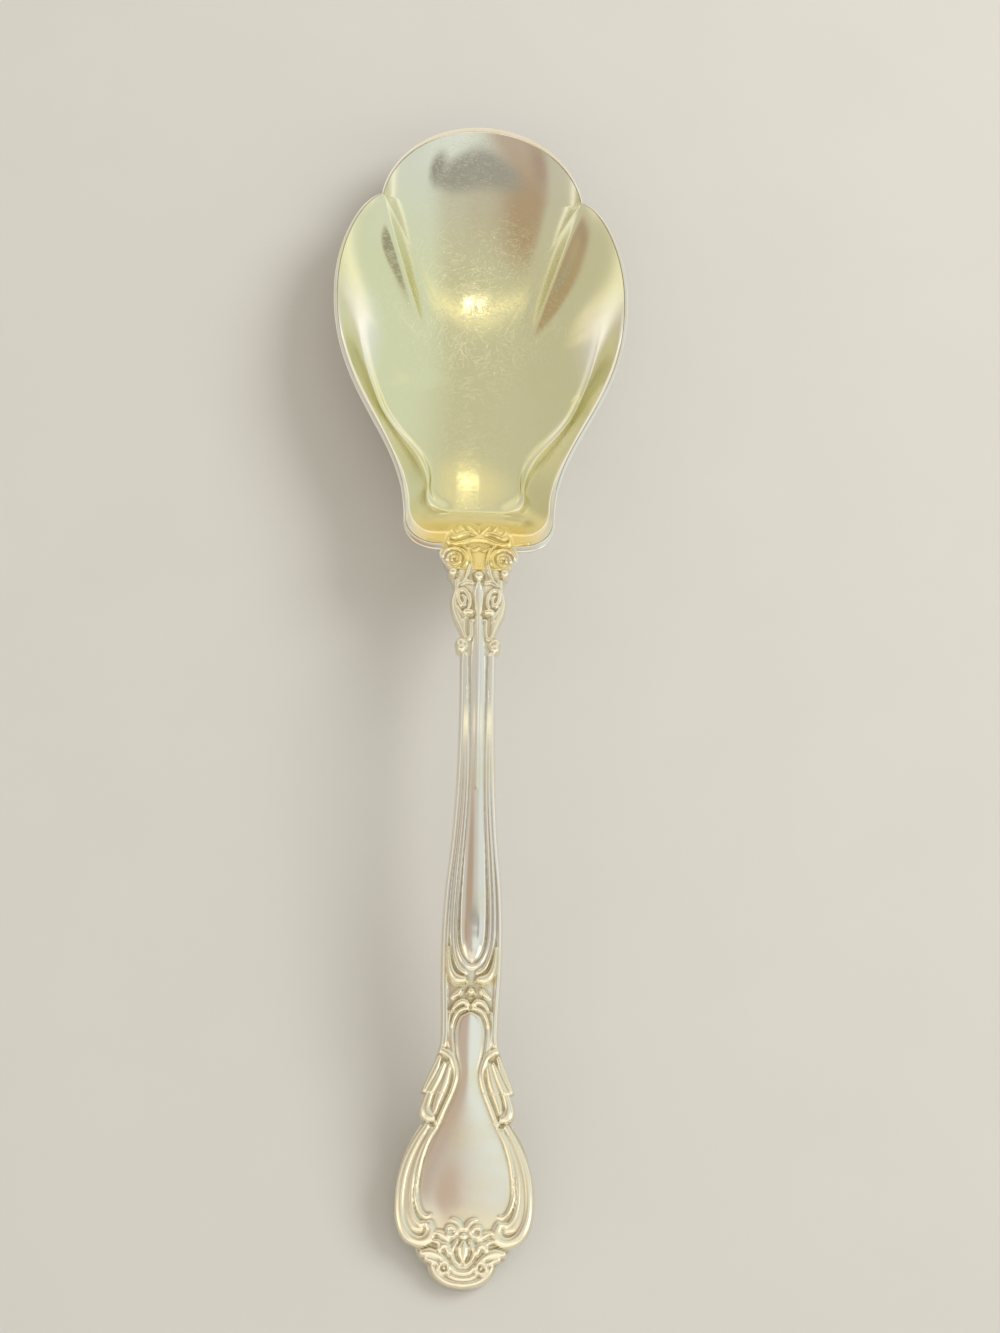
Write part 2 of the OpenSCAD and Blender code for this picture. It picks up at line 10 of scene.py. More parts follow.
import bpy
import numpy as np
from mathutils import Matrix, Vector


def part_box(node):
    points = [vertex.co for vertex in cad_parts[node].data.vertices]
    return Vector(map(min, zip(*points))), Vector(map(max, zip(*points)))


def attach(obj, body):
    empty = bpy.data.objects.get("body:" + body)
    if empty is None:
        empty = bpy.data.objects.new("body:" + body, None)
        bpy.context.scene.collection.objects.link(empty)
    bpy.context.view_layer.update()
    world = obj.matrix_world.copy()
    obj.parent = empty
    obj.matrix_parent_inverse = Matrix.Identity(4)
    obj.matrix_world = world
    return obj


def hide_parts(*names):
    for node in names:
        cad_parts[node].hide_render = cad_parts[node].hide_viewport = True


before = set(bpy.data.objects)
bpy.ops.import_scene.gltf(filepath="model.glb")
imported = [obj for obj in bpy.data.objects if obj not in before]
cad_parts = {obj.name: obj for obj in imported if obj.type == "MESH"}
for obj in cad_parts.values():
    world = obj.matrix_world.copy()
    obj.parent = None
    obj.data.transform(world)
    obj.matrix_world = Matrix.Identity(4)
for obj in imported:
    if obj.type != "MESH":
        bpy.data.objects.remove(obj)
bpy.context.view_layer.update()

MM = 0.001

# Places taken from the frame
bowl_low, bowl_high = (np.array(corner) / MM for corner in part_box("bowl"))
HALF_WIDTH = bowl_high[0]
HEEL_Y = bowl_low[1]
TIP_Y = bowl_high[1]
HEEL_RIM = bowl_high[2]
HANDLE_LENGTH = HEEL_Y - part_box("handle")[0][1] / MM

# Bowl: lengths in millimetres, angles in degrees
WIDEST_Y = TIP_Y - 39
LOW_Y = TIP_Y - 51
TIP_RIM = 11
NOTCH = np.array([19.6, TIP_Y - 17.6])
LOBE_SWELL = 0.15
SIDE_REACH = 12
HEEL_CORNER = np.array([7.5, HEEL_Y])
EAR = np.array([13.7, HEEL_Y + 6])
EAR_ROUND = 0.61
EAR_PULL = 0.36
EAR_LEAN = 0.2
WIDEST_PULL = 0.5
SHEET = 1.2
FLOOR_Z = SHEET - 0.15
FLAT_POWER = 0.67
RIM_POWER = 3
FRONT_POWER = 2.2
FLOOR_ACROSS = 0.012
FLOOR_ALONG = 0.0018
HEEL_RAMP = 15
FLANK_RAMP = 5
RAMP_NARROWS = 0.6
BACK_ENDS = 0.62
FOOT_POWER = 1.45
WALL_BLEND = 0.06
HEEL_ROLL = 2.6
LIP_WIDTH = 3.6
LIP_LEAST = 1.2
LIP_SLOPE = 0.15
LIP_FROM = HEEL_CORNER[0] - 1.5
LIP_NARROWS = 0.4
RIDGE_HEIGHT = 0.5
RIDGE_WIDTH = 1.2
PLEAT_HEIGHT = 2.4
PLEAT_GAIN = 2.54
PLEAT_LENGTH = 27
PLEAT_WIDTH = 6
PLEAT_TAPER = 0.3
PLEAT_SPREAD = 2.0
PLEAT_SPREADS_OVER = 1.5
PLEAT_ANGLE = 20
PLEAT_CREST = 0.15
PLEAT_START_POWER = 0.45
PLEAT_FADE_POWER = 1.1
PLEAT_SIDE_POWER = 1.4
LAND_WIDTH = 0.9
LAND_LIFT = 0.35
LAND_CROWN = 0.2
GILDING = 0.06
FIT_GAP = 0.03
WASH_MARGIN = 0.95
UPRIGHT_FROM = 0.86

# Unevenness of the bowl's sheet: its height, then length of a wave, its sway and the sway's length
WAVER_HEIGHT = 0.012
WAVES_ACROSS = (3.1, 0.6, 4.7)
WAVES_ALONG = (3.7, 1.3, 5.3)

# Steps of the bowl's mesh along the stretches of its rim, and from its middle to the rim
HEEL_STEPS = 15
EAR_STEPS = 21
FLANK_STEPS = 90
SIDE_STEPS = 50
LOBE_STEPS = 60
RING_COUNT = 130
RING_CROWDING = 0.8
HEEL_RAY = slice(0, 1)

# Handle: lengths in millimetres, angles in degrees
NECK_RISE = 13
TAIL_DROP = 18
NECK_THICKNESS = 3.4
STEM_THICKNESS = 3.2
TAIL_THICKNESS = 2.2
SOLDER_FILM = 0.15
ROW_STEP = 0.18
COLUMNS = 113
COLUMN_CROWDING = 0.6
UNDER_COLUMNS = 25
EDGE_FADE = 0.35
NECK_CROWN_POWER = 6
STEM_CROWN_POWER = 3
CROWN_CHANGES_OVER = 10
END_GAP = 0.02
END_STRETCH = 0.6
END_ROWS = 9

# Relief and the raster on which it is worked out: lengths in millimetres
CELL = 0.1
RELIEF_FROM = -8
RELIEF_TO = HANDLE_LENGTH + 1
RELIEF_HALF = 13
LAST_CELL = 1.001
CURVE_STEPS = 8
ARC_STEPS = 28
BEAD_STRETCH = 0.02
BLUR_SPREADS = 3
SOFTEN = 0.11
# Recess tone of the handle and the crest: hollows beside the cords darkened, partly as patina and partly
# as painted shade
TONE_REACH = 0.32
TONE_DEPTH = 0.16
WASH_REACH = 0.9
WASH_DEPTH = 0.2


def mix(a, b, t):
    return a + (b - a) * t


def ease(t):
    t = np.clip(t, 0, 1)
    return t * t * (3 - 2 * t)


def bezier(a, b, c, d, t):
    t = np.asarray(t, float)
    t = t[:, None] if np.ndim(a) else t
    return (1 - t) ** 3 * a + 3 * (1 - t) ** 2 * t * b + 3 * (1 - t) * t * t * c + t ** 3 * d


def lesser(a, b, blend):
    """The lesser of two heights, with a rounded change-over."""
    h = np.clip(0.5 + 0.5 * (b - a) / blend, 0, 1)
    return mix(b, a, h) - blend * h * (1 - h)


def through(stations, s):
    """Smooth curve through (place, value) stations."""
    places, values = (np.array(v, float) for v in zip(*stations))
    slopes = np.gradient(values, places)
    i = np.clip(np.searchsorted(places, s) - 1, 0, len(places) - 2)
    d = places[i + 1] - places[i]
    t = np.clip((s - places[i]) / d, 0, 1)
    pull = t * (1 - t) * (slopes[i] * (1 - t) - slopes[i + 1] * t)
    return mix(values[i], values[i + 1], ease(t)) + d * pull


def unit(v):
    return v / np.maximum(np.linalg.norm(v, axis=-1, keepdims=True), 1e-9)


# Meshes

def piece(name, node, points, faces, material, attributes=None, sharp=50):
    """One smooth-shaded piece that stands for a node of the frame.

    Edges that turn by more than the sharp angle, in degrees, stay crisp. At 0 none does.
    """
    mesh = bpy.data.meshes.new(name)
    mesh.from_pydata((np.asarray(points) * MM).tolist(), [], [list(map(int, f)) for f in faces])
    mesh.polygons.foreach_set("use_smooth", [True] * len(mesh.polygons))
    if sharp:
        mesh.set_sharp_from_angle(angle=math.radians(sharp))
    for key, values in (attributes or {}).items():
        layer = mesh.attributes.new(key, "FLOAT", "POINT")
        layer.data.foreach_set("value", np.asarray(values, np.float32).ravel())
    mesh.materials.append(material)
    obj = bpy.data.objects.new(name, mesh)
    bpy.context.scene.collection.objects.link(obj)
    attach(obj, "root")
    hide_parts(node)


def strip(rows, flip=False):
    """Quads between neighbouring rows of an index grid, each row a closed ring."""
    onward = np.roll(rows, -1, axis=1)
    quads = np.stack([rows[:-1], onward[:-1], onward[1:], rows[1:]], -1).reshape(-1, 4)
    return quads[:, ::-1] if flip else quads


def fan(centre, ring, flip=False):
    """Triangles from a middle point to a closed ring of indices."""
    tris = np.stack([np.full(len(ring), centre), ring, np.roll(ring, -1)], -1)
    return tris[:, ::-1] if flip else tris


def closed_rings(rings, flip=False):
    """Points and faces of a skin through closed rings, shut by a fan at each end."""
    count, size = rings.shape[:2]
    points = np.concatenate([rings.reshape(-1, 3), [rings[0].mean(0), rings[-1].mean(0)]])
    index = np.arange(count * size).reshape(count, size)
    faces = [*strip(index, flip), *fan(count * size, index[0], flip=not flip)]
    faces += [*fan(count * size + 1, index[-1], flip=flip)]
    return points, faces


# Bowl

def part_way(start, finish, steps):
    """Even steps from a start up to, but without, a finish."""
    return np.linspace(start, finish, steps, endpoint=False)


def rim_lines():
    """The rim in plan, and the level line near the floor: a squarer front without notches."""
    heel = np.stack([part_way(0, HEEL_CORNER[0], HEEL_STEPS), np.full(HEEL_STEPS, HEEL_Y)], 1)
    bend = EAR_ROUND * (EAR[0] - HEEL_CORNER[0])
    ear = bezier(HEEL_CORNER, HEEL_CORNER + [bend, EAR_LEAN], EAR - [0, bend], EAR,
                 part_way(0, 1, EAR_STEPS))
    widest = np.array([HALF_WIDTH, WIDEST_Y])
    pull = np.array([0, widest[1] - EAR[1]])
    flank = bezier(EAR, EAR + EAR_PULL * pull, widest - WIDEST_PULL * pull, widest,
                   part_way(0, 1, FLANK_STEPS))
    side_x = HALF_WIDTH - SIDE_REACH
    side_end = math.acos((NOTCH[0] - side_x) / SIDE_REACH)
    side_rise = (NOTCH[1] - WIDEST_Y) / math.sin(side_end)
    a = part_way(0, side_end, SIDE_STEPS)
    side = np.stack([side_x + SIDE_REACH * np.cos(a), WIDEST_Y + side_rise * np.sin(a)], 1)
    lobe_half = NOTCH[0] + LOBE_SWELL
    lobe_from = math.acos(NOTCH[0] / lobe_half)
    lobe_rise = (TIP_Y - NOTCH[1]) / (1 - math.sin(lobe_from))
    b = np.linspace(lobe_from, math.pi / 2, LOBE_STEPS + 1)
    lobe = np.stack([lobe_half * np.cos(b), TIP_Y - lobe_rise * (1 - np.sin(b))], 1)
    share = math.acos(NOTCH[0] / HALF_WIDTH)
    c = np.concatenate([part_way(0, share, SIDE_STEPS), np.linspace(share, math.pi / 2, LOBE_STEPS + 1)])
    across, along = np.maximum(np.cos(c), 0) ** FLAT_POWER, np.sin(c) ** FLAT_POWER
    flat = np.stack([HALF_WIDTH * across, WIDEST_Y + (TIP_Y - WIDEST_Y) * along], 1)
    back = np.concatenate([heel, ear, flank])
    lines = [np.concatenate([back, side, lobe]), np.concatenate([back, flat])]
    return [np.concatenate([line, line[-2:0:-1] * [-1, 1]]) for line in lines]


RIM, FLAT_RIM = rim_lines()


def pleats(x, y):
    """Folds that run inwards from the two notches, level with the rim at first, and fade."""
    turn = math.radians(PLEAT_ANGLE)
    dx, dy = np.abs(x) - NOTCH[0], y - NOTCH[1]
    run = np.clip(-(dx * math.sin(turn) + dy * math.cos(turn)) / PLEAT_LENGTH, 0, 1)
    off = dx * math.cos(turn) - dy * math.sin(turn)
    spread = mix(1, PLEAT_SPREAD, ease(off / PLEAT_SPREADS_OVER + 0.5))
    wide = PLEAT_WIDTH / 2 * mix(1, PLEAT_TAPER, run) * spread
    off = np.hypot(off, PLEAT_CREST) / wide
    rise = PLEAT_GAIN * PLEAT_HEIGHT * run ** PLEAT_START_POWER * (1 - run) ** PLEAT_FADE_POWER
    return rise * np.exp(-off ** PLEAT_SIDE_POWER)


def wave(a, b, length, sway, sway_length):
    """Wave along a whose crests sway along b."""
    return np.sin(a / length + sway * np.sin(b / sway_length))


def waver(x, y):
    """Slight unevenness of sheet that was hammered and polished by hand."""
    return WAVER_HEIGHT * (wave(x, y, *WAVES_ACROSS) + wave(y, x, *WAVES_ALONG))


def bowl_inside(u, rays=slice(None)):
    """Points of the inner face, rays by rings: u is 0 at the lowest place and 1 at the rim."""
    rim, flat = RIM[rays], FLAT_RIM[rays]
    u = np.asarray(u, float)[None, :]
    edge_x = mix(flat[:, :1], rim[:, :1], u ** RIM_POWER)
    edge_y = mix(flat[:, 1:], rim[:, 1:], u ** RIM_POWER)
    x, y = edge_x * u, mix(LOW_Y, edge_y, u)
    rim_x, rim_y = np.abs(rim[:, :1]), rim[:, 1:]
    height = mix(HEEL_RIM, TIP_RIM, (rim_y - HEEL_Y) / (TIP_Y - HEEL_Y)) - FLOOR_Z
    inward = (1 - u) * np.hypot(rim_x, rim_y - LOW_Y)
    ahead = np.clip((rim_y - HEEL_Y) / (WIDEST_Y - HEEL_Y), 0, 1)
    aside = ease((rim_x - LIP_FROM) / (EAR[0] - LIP_FROM))
    foot = mix(HEEL_RAMP, FLANK_RAMP, ease(ahead / RAMP_NARROWS))
    lip = aside * mix(LIP_WIDTH, LIP_LEAST, ease(ahead / LIP_NARROWS))
    climb = lesser(np.clip((foot - inward) / (foot - lip), 0, None), 1.0, WALL_BLEND)
    wall = 1 - np.maximum(1 - climb ** FOOT_POWER, 0) ** mix(HEEL_ROLL, 1, aside)
    flare = np.maximum(lip - inward, 0)
    floor = FLOOR_ACROSS * x * x + FLOOR_ALONG * (y - LOW_Y) ** 2
    back = mix(floor, height - LIP_SLOPE * lip, wall) + LIP_SLOPE * flare
    back = back + RIDGE_HEIGHT * aside * np.exp(-((inward - foot) / RIDGE_WIDTH) ** 2)
    front = height * u ** FRONT_POWER
    z = FLOOR_Z + mix(front, back, 1 - ease((ahead - BACK_ENDS) / (1 - BACK_ENDS)))
    return np.stack([x, y, z + pleats(x, y) + waver(x, y)], -1)


def bowl_normals(grid):
    """Upward normals of a grid that runs round the rim and outwards, level at its middle."""
    around = np.roll(grid, -1, axis=0) - np.roll(grid, 1, axis=0)
    outward = np.gradient(grid, axis=1)
    normals = unit(np.cross(outward, around))
    normals[:, 0] = [0, 0, 1]
    return normals


def mean_reach():
    """Mean distance in plan from the bowl's lowest place to its rim."""
    return np.hypot(RIM[:, 0], RIM[:, 1] - LOW_Y).mean()


def ring_places(margin):
    """Places from the middle to a margin inside the rim, closer together outwards."""
    return (1 - margin / mean_reach()) * (np.arange(RING_COUNT + 1) / RING_COUNT) ** RING_CROWDING


def dish(inner, edge, outer):
    """Closed dish from its inner face, its edge and every other ring of its outer face.

    Each of the three is a grid of points, rays by rings.
    """
    run = np.concatenate([inner[:, 1:], edge, outer[:, :0:-2]], 1)
    rays, rings = run.shape[:2]
    index = np.arange(rays * rings).reshape(rays, rings)
    points = np.concatenate([run.reshape(-1, 3), [inner[0, 0], outer[0, 0]]])
    faces = [*strip(index.T, flip=True)]
    faces += [*fan(rays * rings, index[:, 0])]
    faces += [*fan(rays * rings + 1, index[:, -1], flip=True)]
    return points, faces


# Steps over the rim's land and round its outer corner: shares of the way out and of the way down
RIM_STEPS = [(0.05, 0), (0.15, 0), (0.35, 0), (0.55, 0), (0.75, 0), (0.88, 0), (0.95, 0.05),
             (0.99, 0.15), (1.0, 0.3), (0.96, 0.55), (0.82, 0.8), (0.5, 0.95)]


def rim_edge(inside, rim, outside):
    """Rings across the nearly level land of the rim, and round its edge down to the outer face."""
    level = mix(inside[:, 2], rim[:, 2], LAND_LIFT)
    rings = []
    for out, down in RIM_STEPS:
        ring = mix(inside, rim, out)
        ring[:, 2] = mix(level - LAND_CROWN * out * out, outside[:, 2], down)
        rings.append(ring)
    return np.stack(rings, 1)


def build_bowl(material):
    """Silver shell with a narrow land round its rim."""
    u = ring_places(LAND_WIDTH)
    inner = bowl_inside(u)
    normals = bowl_normals(inner)
    upright = ease((u - UPRIGHT_FROM) / (1 - UPRIGHT_FROM))[None, :, None]
    down = unit(mix(normals, np.array([0, 0, 1]), upright))
    outer = inner - SHEET * down
    outer[..., 2] = np.maximum(outer[..., 2], 0)
    edge = rim_edge(inner[:, -1], bowl_inside([1.0])[:, 0], outer[:, -1])
    points, faces = dish(inner, edge, outer)
    piece("shell_bowl", "bowl", points, faces, material)


def build_lining(material):
    """Gold wash inside the bowl, which stops just short of the rim."""
    inner = bowl_inside(ring_places(WASH_MARGIN))
    normals = bowl_normals(inner)
    low, high = inner + FIT_GAP * normals, inner + (FIT_GAP + GILDING) * normals
    points, faces = dish(high, high[:, :0], low)
    piece("gold_wash", "gilt_lining", points, faces, material)


# Handle

def arch(s):
    """Height of the handle's middle plane."""
    start, finish, pull = HEEL_RIM - NECK_THICKNESS / 2, TAIL_THICKNESS / 2, HANDLE_LENGTH / 3
    lift, drop = (pull * math.tan(math.radians(a)) for a in (NECK_RISE, TAIL_DROP))
    return bezier(start, start + lift, finish + drop, finish, np.asarray(s) / HANDLE_LENGTH)


# Thickness of the handle: distance from the heel edge, thickness
THICKNESS = [(0, NECK_THICKNESS), (18, STEM_THICKNESS), (HANDLE_LENGTH - 60, STEM_THICKNESS),
             (HANDLE_LENGTH - 30, TAIL_THICKNESS + 0.2), (HANDLE_LENGTH, TAIL_THICKNESS)]

# Stretches of the handle's outline up to the shell at its end: distance, half-width
OUTLINE = [
    [(0, 6.6), (2.5, 6.2), (4, 5.5), (6, 5.0), (7.7, 4.5), (10.8, 5.05), (13.4, 4.65), (15.2, 4.0),
     (17, 3.22), (22.5, 3.16), (36, 3.18), (48, 3.55), (56, 4.1), (63, 4.8), (70, 5.15), (78, 5.12),
     (85, 4.85), (88.2, 4.9), (89.4, 5.15)],
    [(89.4, 5.15), (91.2, 5.8), (93, 6.6), (94.8, 7.4), (96.3, 7.95)],
    [(96.3, 7.2), (97.6, 7.6), (99.2, 8.05), (100.3, 7.85), (101.2, 7.1)],
    [(101.2, 7.7), (103.7, 9.25), (106.8, 10.55), (110, 11.4), (113.7, 11.7), (116.5, 11.45),
     (118.7, 10.6), (119.9, 9.5), (120.5, 8.3)],
    [(120.5, 8.0), (121.6, 7.55), (122.5, 6.9), (123.1, 6.0)]]
SHELL_FROM = 123.1
SHELL_HALF = 5.75

# Bosses that round out the edge: distance, middle, radius
EDGE_BOSSES = [(4.95, 4.7, 0.95), (19.05, 3.2, 0.9), (20.25, 3.1, 0.85)]


def half_width(s):
    """Half of the handle's width, with the bosses that round out its edge."""
    s = np.asarray(s, float)
    run = np.clip((s - SHELL_FROM) / (HANDLE_LENGTH - SHELL_FROM), 0, 1)
    width = SHELL_HALF * np.sqrt(1 - run * run)
    for stations in OUTLINE:
        inside = (s >= stations[0][0]) & (s < stations[-1][0])
        width = np.where(inside, through(stations, s), width)
    for place, middle, radius in EDGE_BOSSES:
        off = 1 - ((s - place) / radius) ** 2
        bulge = middle + radius * np.sqrt(np.maximum(off, 0))
        width = np.where(off > 0, np.maximum(width, bulge), width)
    return width


def thickness(s):
    return through(THICKNESS, s)


def crown(f, s):
    """Rise of the blank over its middle plane, at a share f of its half-width."""
    power = mix(NECK_CROWN_POWER, STEM_CROWN_POWER, ease(s / CROWN_CHANGES_OVER))
    return thickness(s) / 2 * np.maximum(1 - np.abs(f) ** power, 0) ** (1 / power)


# Relief: rounded cords, beads and panels on the upper side, alike left and right

S_AXIS = np.arange(RELIEF_FROM, RELIEF_TO, CELL)
X_AXIS = np.arange(0, RELIEF_HALF, CELL)


def curve(points):
    """Smooth line through (s, x) points."""
    points = np.array(points, float)
    ends = np.concatenate([points[:1], points, points[-1:]])
    t = np.arange(CURVE_STEPS) / CURVE_STEPS
    spans = [bezier(b, b + (c - a) / 6, c - (d - b) / 6, c, t)
             for a, b, c, d in zip(ends, ends[1:], ends[2:], ends[3:])]
    return np.concatenate([*spans, points[-1:]])


def arc(centre, radius, start, finish, shrink=1.0):
    """Turn from one angle to another: 0 degrees points outwards and 90 to the bowl."""
    t = np.linspace(0, 1, ARC_STEPS)
    a = np.radians(mix(start, finish, t))
    reach = radius * mix(1, shrink, t)
    return np.stack([centre[0] - reach * np.sin(a), centre[1] + reach * np.cos(a)], 1)


def stamp(height, path, rise, widths):
    """Raises a rounded cord along a line of (s, x) points, with half-widths spread evenly on it."""
    path = np.asarray(path, float)
    widths = np.atleast_1d(np.asarray(widths, float))
    reach = widths.max()
    low = np.searchsorted(S_AXIS, path[:, 0].min() - reach)
    high = np.searchsorted(S_AXIS, path[:, 0].max() + reach)
    far = np.searchsorted(X_AXIS, path[:, 1].max() + reach)
    s, x = np.meshgrid(S_AXIS[low:high], X_AXIS[:far], indexing="ij")
    best = np.zeros(s.shape)
    last = len(path) - 1
    for k in range(last):
        a, run = path[k], path[k + 1] - path[k]
        t = np.clip(((s - a[0]) * run[0] + (x - a[1]) * run[1]) / (run @ run), 0, 1)
        r = np.interp((k + t) / last, np.linspace(0, 1, len(widths)), widths)
        off = ((s - a[0] - t * run[0]) ** 2 + (x - a[1] - t * run[1]) ** 2) / r ** 2
        best = np.maximum(best, np.sqrt(np.maximum(0, 1 - off)))
    height[low:high, :far] = np.maximum(height[low:high, :far], rise * best)


def cord(height, points, rise, widths):
    """Raises a rounded cord on a smooth line through (s, x) points, with half-widths along it."""
    stamp(height, curve(points), rise, widths)


def bead(height, s, x, radius, rise):
    """Raises a round bead at a place."""
    stamp(height, [(s - BEAD_STRETCH, x), (s + BEAD_STRETCH, x)], rise, radius)


def panel(height, stations, rise, power):
    """Raises a domed field whose half-width follows its stations.

    The rise is one value, or one for each row of the raster.
    """
    inside = (S_AXIS > stations[0][0]) & (S_AXIS < stations[-1][0])
    w = np.where(inside, through(stations, S_AXIS), 0)[:, None]
    dome = np.maximum(0, 1 - (X_AXIS[None, :] / np.maximum(w, 1e-3)) ** 2) ** power
    rise = np.broadcast_to(rise, S_AXIS.shape)[:, None]
    np.maximum(height, np.where(X_AXIS[None, :] < w, rise * dome, 0), out=height)


def blurred(height, reach):
    """Soft version of a height raster, alike across the middle line."""
    size = int(math.ceil(BLUR_SPREADS * reach / CELL))
    kernel = np.exp(-0.5 * (np.arange(-size, size + 1) * CELL / reach) ** 2)
    kernel /= kernel.sum()
    wide = np.concatenate([height[:, size:0:-1], height, np.repeat(height[:, -1:], size, 1)], 1)
    wide = np.apply_along_axis(np.convolve, 1, wide, kernel, "valid")
    tall = np.pad(wide, ((size, size), (0, 0)), mode="edge")
    return np.apply_along_axis(np.convolve, 0, tall, kernel, "valid")


def sampled(raster, s, x):
    """Values of a raster at places (s, x)."""
    i = np.clip((s - RELIEF_FROM) / CELL, 0, len(S_AXIS) - LAST_CELL)
    j = np.clip(np.abs(x) / CELL, 0, len(X_AXIS) - LAST_CELL)
    i0, j0 = i.astype(int), j.astype(int)
    fi, fj = i - i0, j - j0
    near = mix(raster[i0, j0], raster[i0, j0 + 1], fj)
    far = mix(raster[i0 + 1, j0], raster[i0 + 1, j0 + 1], fj)
    return mix(near, far, fi)


def neck_relief(h):
    """Pearl, knobs and the vase with its slanting scrolls, hanging loops and side beads."""
    bead(h, 5.7, 0, 1.0, 1.3)
    bead(h, 4.95, 4.75, 1.0, 1.2)
    cord(h, [(2.6, 1.5), (4.6, 1.9), (6.4, 2.4), (7.2, 3.1)], 0.5, (0.45, 0.35))
    cord(h, [(6.6, 3.85), (9, 4.25), (11, 4.45), (13, 4.1), (15, 3.3), (17, 2.75)],
         0.5, (0.5, 0.7, 0.5))
    cord(h, [(7.0, 1.1), (6.9, 2.2), (7.6, 3.4)], 0.4, 0.4)
    cord(h, [(12.5, 1.85), (11.2, 1.55), (9.6, 1.8), (8.5, 2.7), (8.8, 3.5), (10.2, 3.65), (11.7, 3.1)],
         0.6, (0.4, 0.46, 0.42))
    cord(h, [(11.6, 2.45), (10.4, 2.45), (9.75, 2.85)], 0.5, (0.3, 0.42, 0.32))
    cord(h, [(12.2, 3.8), (13.2, 3.25), (14.1, 2.5)], 0.45, 0.42)
    cord(h, [(13.2, 1.35), (13.1, 2.2)], 1.0, (0.6, 0.7))
    bead(h, 14.9, 1.2, 0.5, 0.55)
    cord(h, [(15.0, 1.3), (17.6, 1.3), (18.5, 1.9), (17.6, 2.5), (14.8, 2.65)], 0.42, 0.36)
    bead(h, 19.1, 3.25, 0.95, 0.95)
    bead(h, 20.2, 3.15, 0.9, 0.95)
    cord(h, [(18.9, 2.5), (19.6, 2.1), (20.4, 2.4)], 0.4, 0.35)


# Outer rails of the stem, and height of the tongue along its length
RAIL_FROM = 21.4
RAIL_TO = 89.2
RAIL_STEP = 0.8
RAIL_INSET = 0.58
SWELL = [(6, 0.5), (50, 0.5), (60, 0.72), (70, 0.98), (73, 0.9), (75.4, 0.5)]


def stem_relief(h):
    """Outer rails, two inner lines that close round the tongue, and the tongue with its spine."""
    rail = np.arange(RAIL_FROM, RAIL_TO, RAIL_STEP)
    stamp(h, np.stack([rail, half_width(rail) - RAIL_INSET], 1), 0.5, 0.6)
    cord(h, [(21.6, 2.02), (30, 2.08), (42, 2.1), (50, 2.3), (60, 3.05), (66, 3.45), (71, 3.5),
             (74.2, 3.05), (76.2, 2.2), (76.95, 1.2)], 0.4, (0.3, 0.36, 0.42, 0.45))
    cord(h, [(24, 1.9), (34, 1.68), (42, 1.6), (50, 1.78), (60, 2.4), (66, 2.75), (70, 2.8),
             (72.6, 2.55), (74.6, 1.85), (75.8, 0.8), (76.05, 0)], 0.36, (0.24, 0.26, 0.3, 0.36, 0.4))
    panel(h, [(6.4, 0.3), (7.2, 0.55), (14, 0.75), (20, 1.15), (30, 1.3), (42, 1.35), (50, 1.5),
              (60, 1.95), (66, 2.25), (70, 2.25), (72, 2.1), (73.2, 1.8), (74.2, 1.35), (75.0, 0.7),
              (75.4, 0.05)], through(SWELL, S_AXIS), 0.5)
    cord(h, [(7.2, 0), (20, 0), (46, 0)], 0.66, (0.42, 0.32, 0.16))


def link_relief(h):
    """Leaf curls under the tongue, the bead between crescents, and the arches over the field."""
    cord(h, [(73, 3.95), (75.5, 3.8), (77.2, 3.3), (78.1, 2.4), (78.25, 1.35)],
         1.0, (0.25, 0.5, 0.7, 0.9, 0.7))
    bead(h, 80.2, 0, 0.75, 1.15)
    cord(h, [(79.8, 1.75), (80.5, 2.25), (80.95, 3.0)], 0.5, (0.35, 0.5, 0.3))
    cord(h, [(82.2, 0.45), (81.75, 1.15), (82.05, 2.1), (83.0, 2.95)], 0.8, (0.45, 0.62, 0.55, 0.35))
    cord(h, [(82.85, 0.5), (82.9, 1.2), (83.4, 2.1), (84.5, 2.75), (85.6, 3.0)],
         0.6, (0.32, 0.4, 0.38, 0.3))
    cord(h, [(83.6, 3.5), (85.4, 3.7), (88, 3.5), (89.6, 3.1)], 0.35, 0.34)
    cord(h, [(85.6, 3.0), (87.5, 3.0), (89.5, 2.75), (91.5, 2.3)], 0.4, (0.3, 0.34, 0.24))


def shoulder_relief(h):
    """Scroll bands that turn in from the edge, and the two leaves on each side."""
    cord(h, [(89.5, 4.85), (89.8, 4.0), (90.6, 3.0), (91.9, 2.4), (93.6, 2.15), (96, 2.75), (99, 4.05),
             (101.2, 5.0)], 0.65, (0.6, 0.6, 0.5, 0.4, 0.4))
    cord(h, [(90.7, 4.95), (92.2, 5.55), (94, 6.45), (96.0, 7.35)], 0.75, (0.5, 0.75, 0.75, 0.4))
    cord(h, [(91.6, 4.1), (94, 5.1), (96.6, 6.45), (98.6, 7.05), (99.8, 6.8), (100.3, 6.0)],
         0.7, (0.4, 0.6, 0.85, 1.05, 0.8))
    cord(h, [(91.8, 3.3), (94.5, 4.0), (97.5, 5.1), (99.3, 5.5)], 0.4, (0.5, 0.75, 0.65, 0.45))


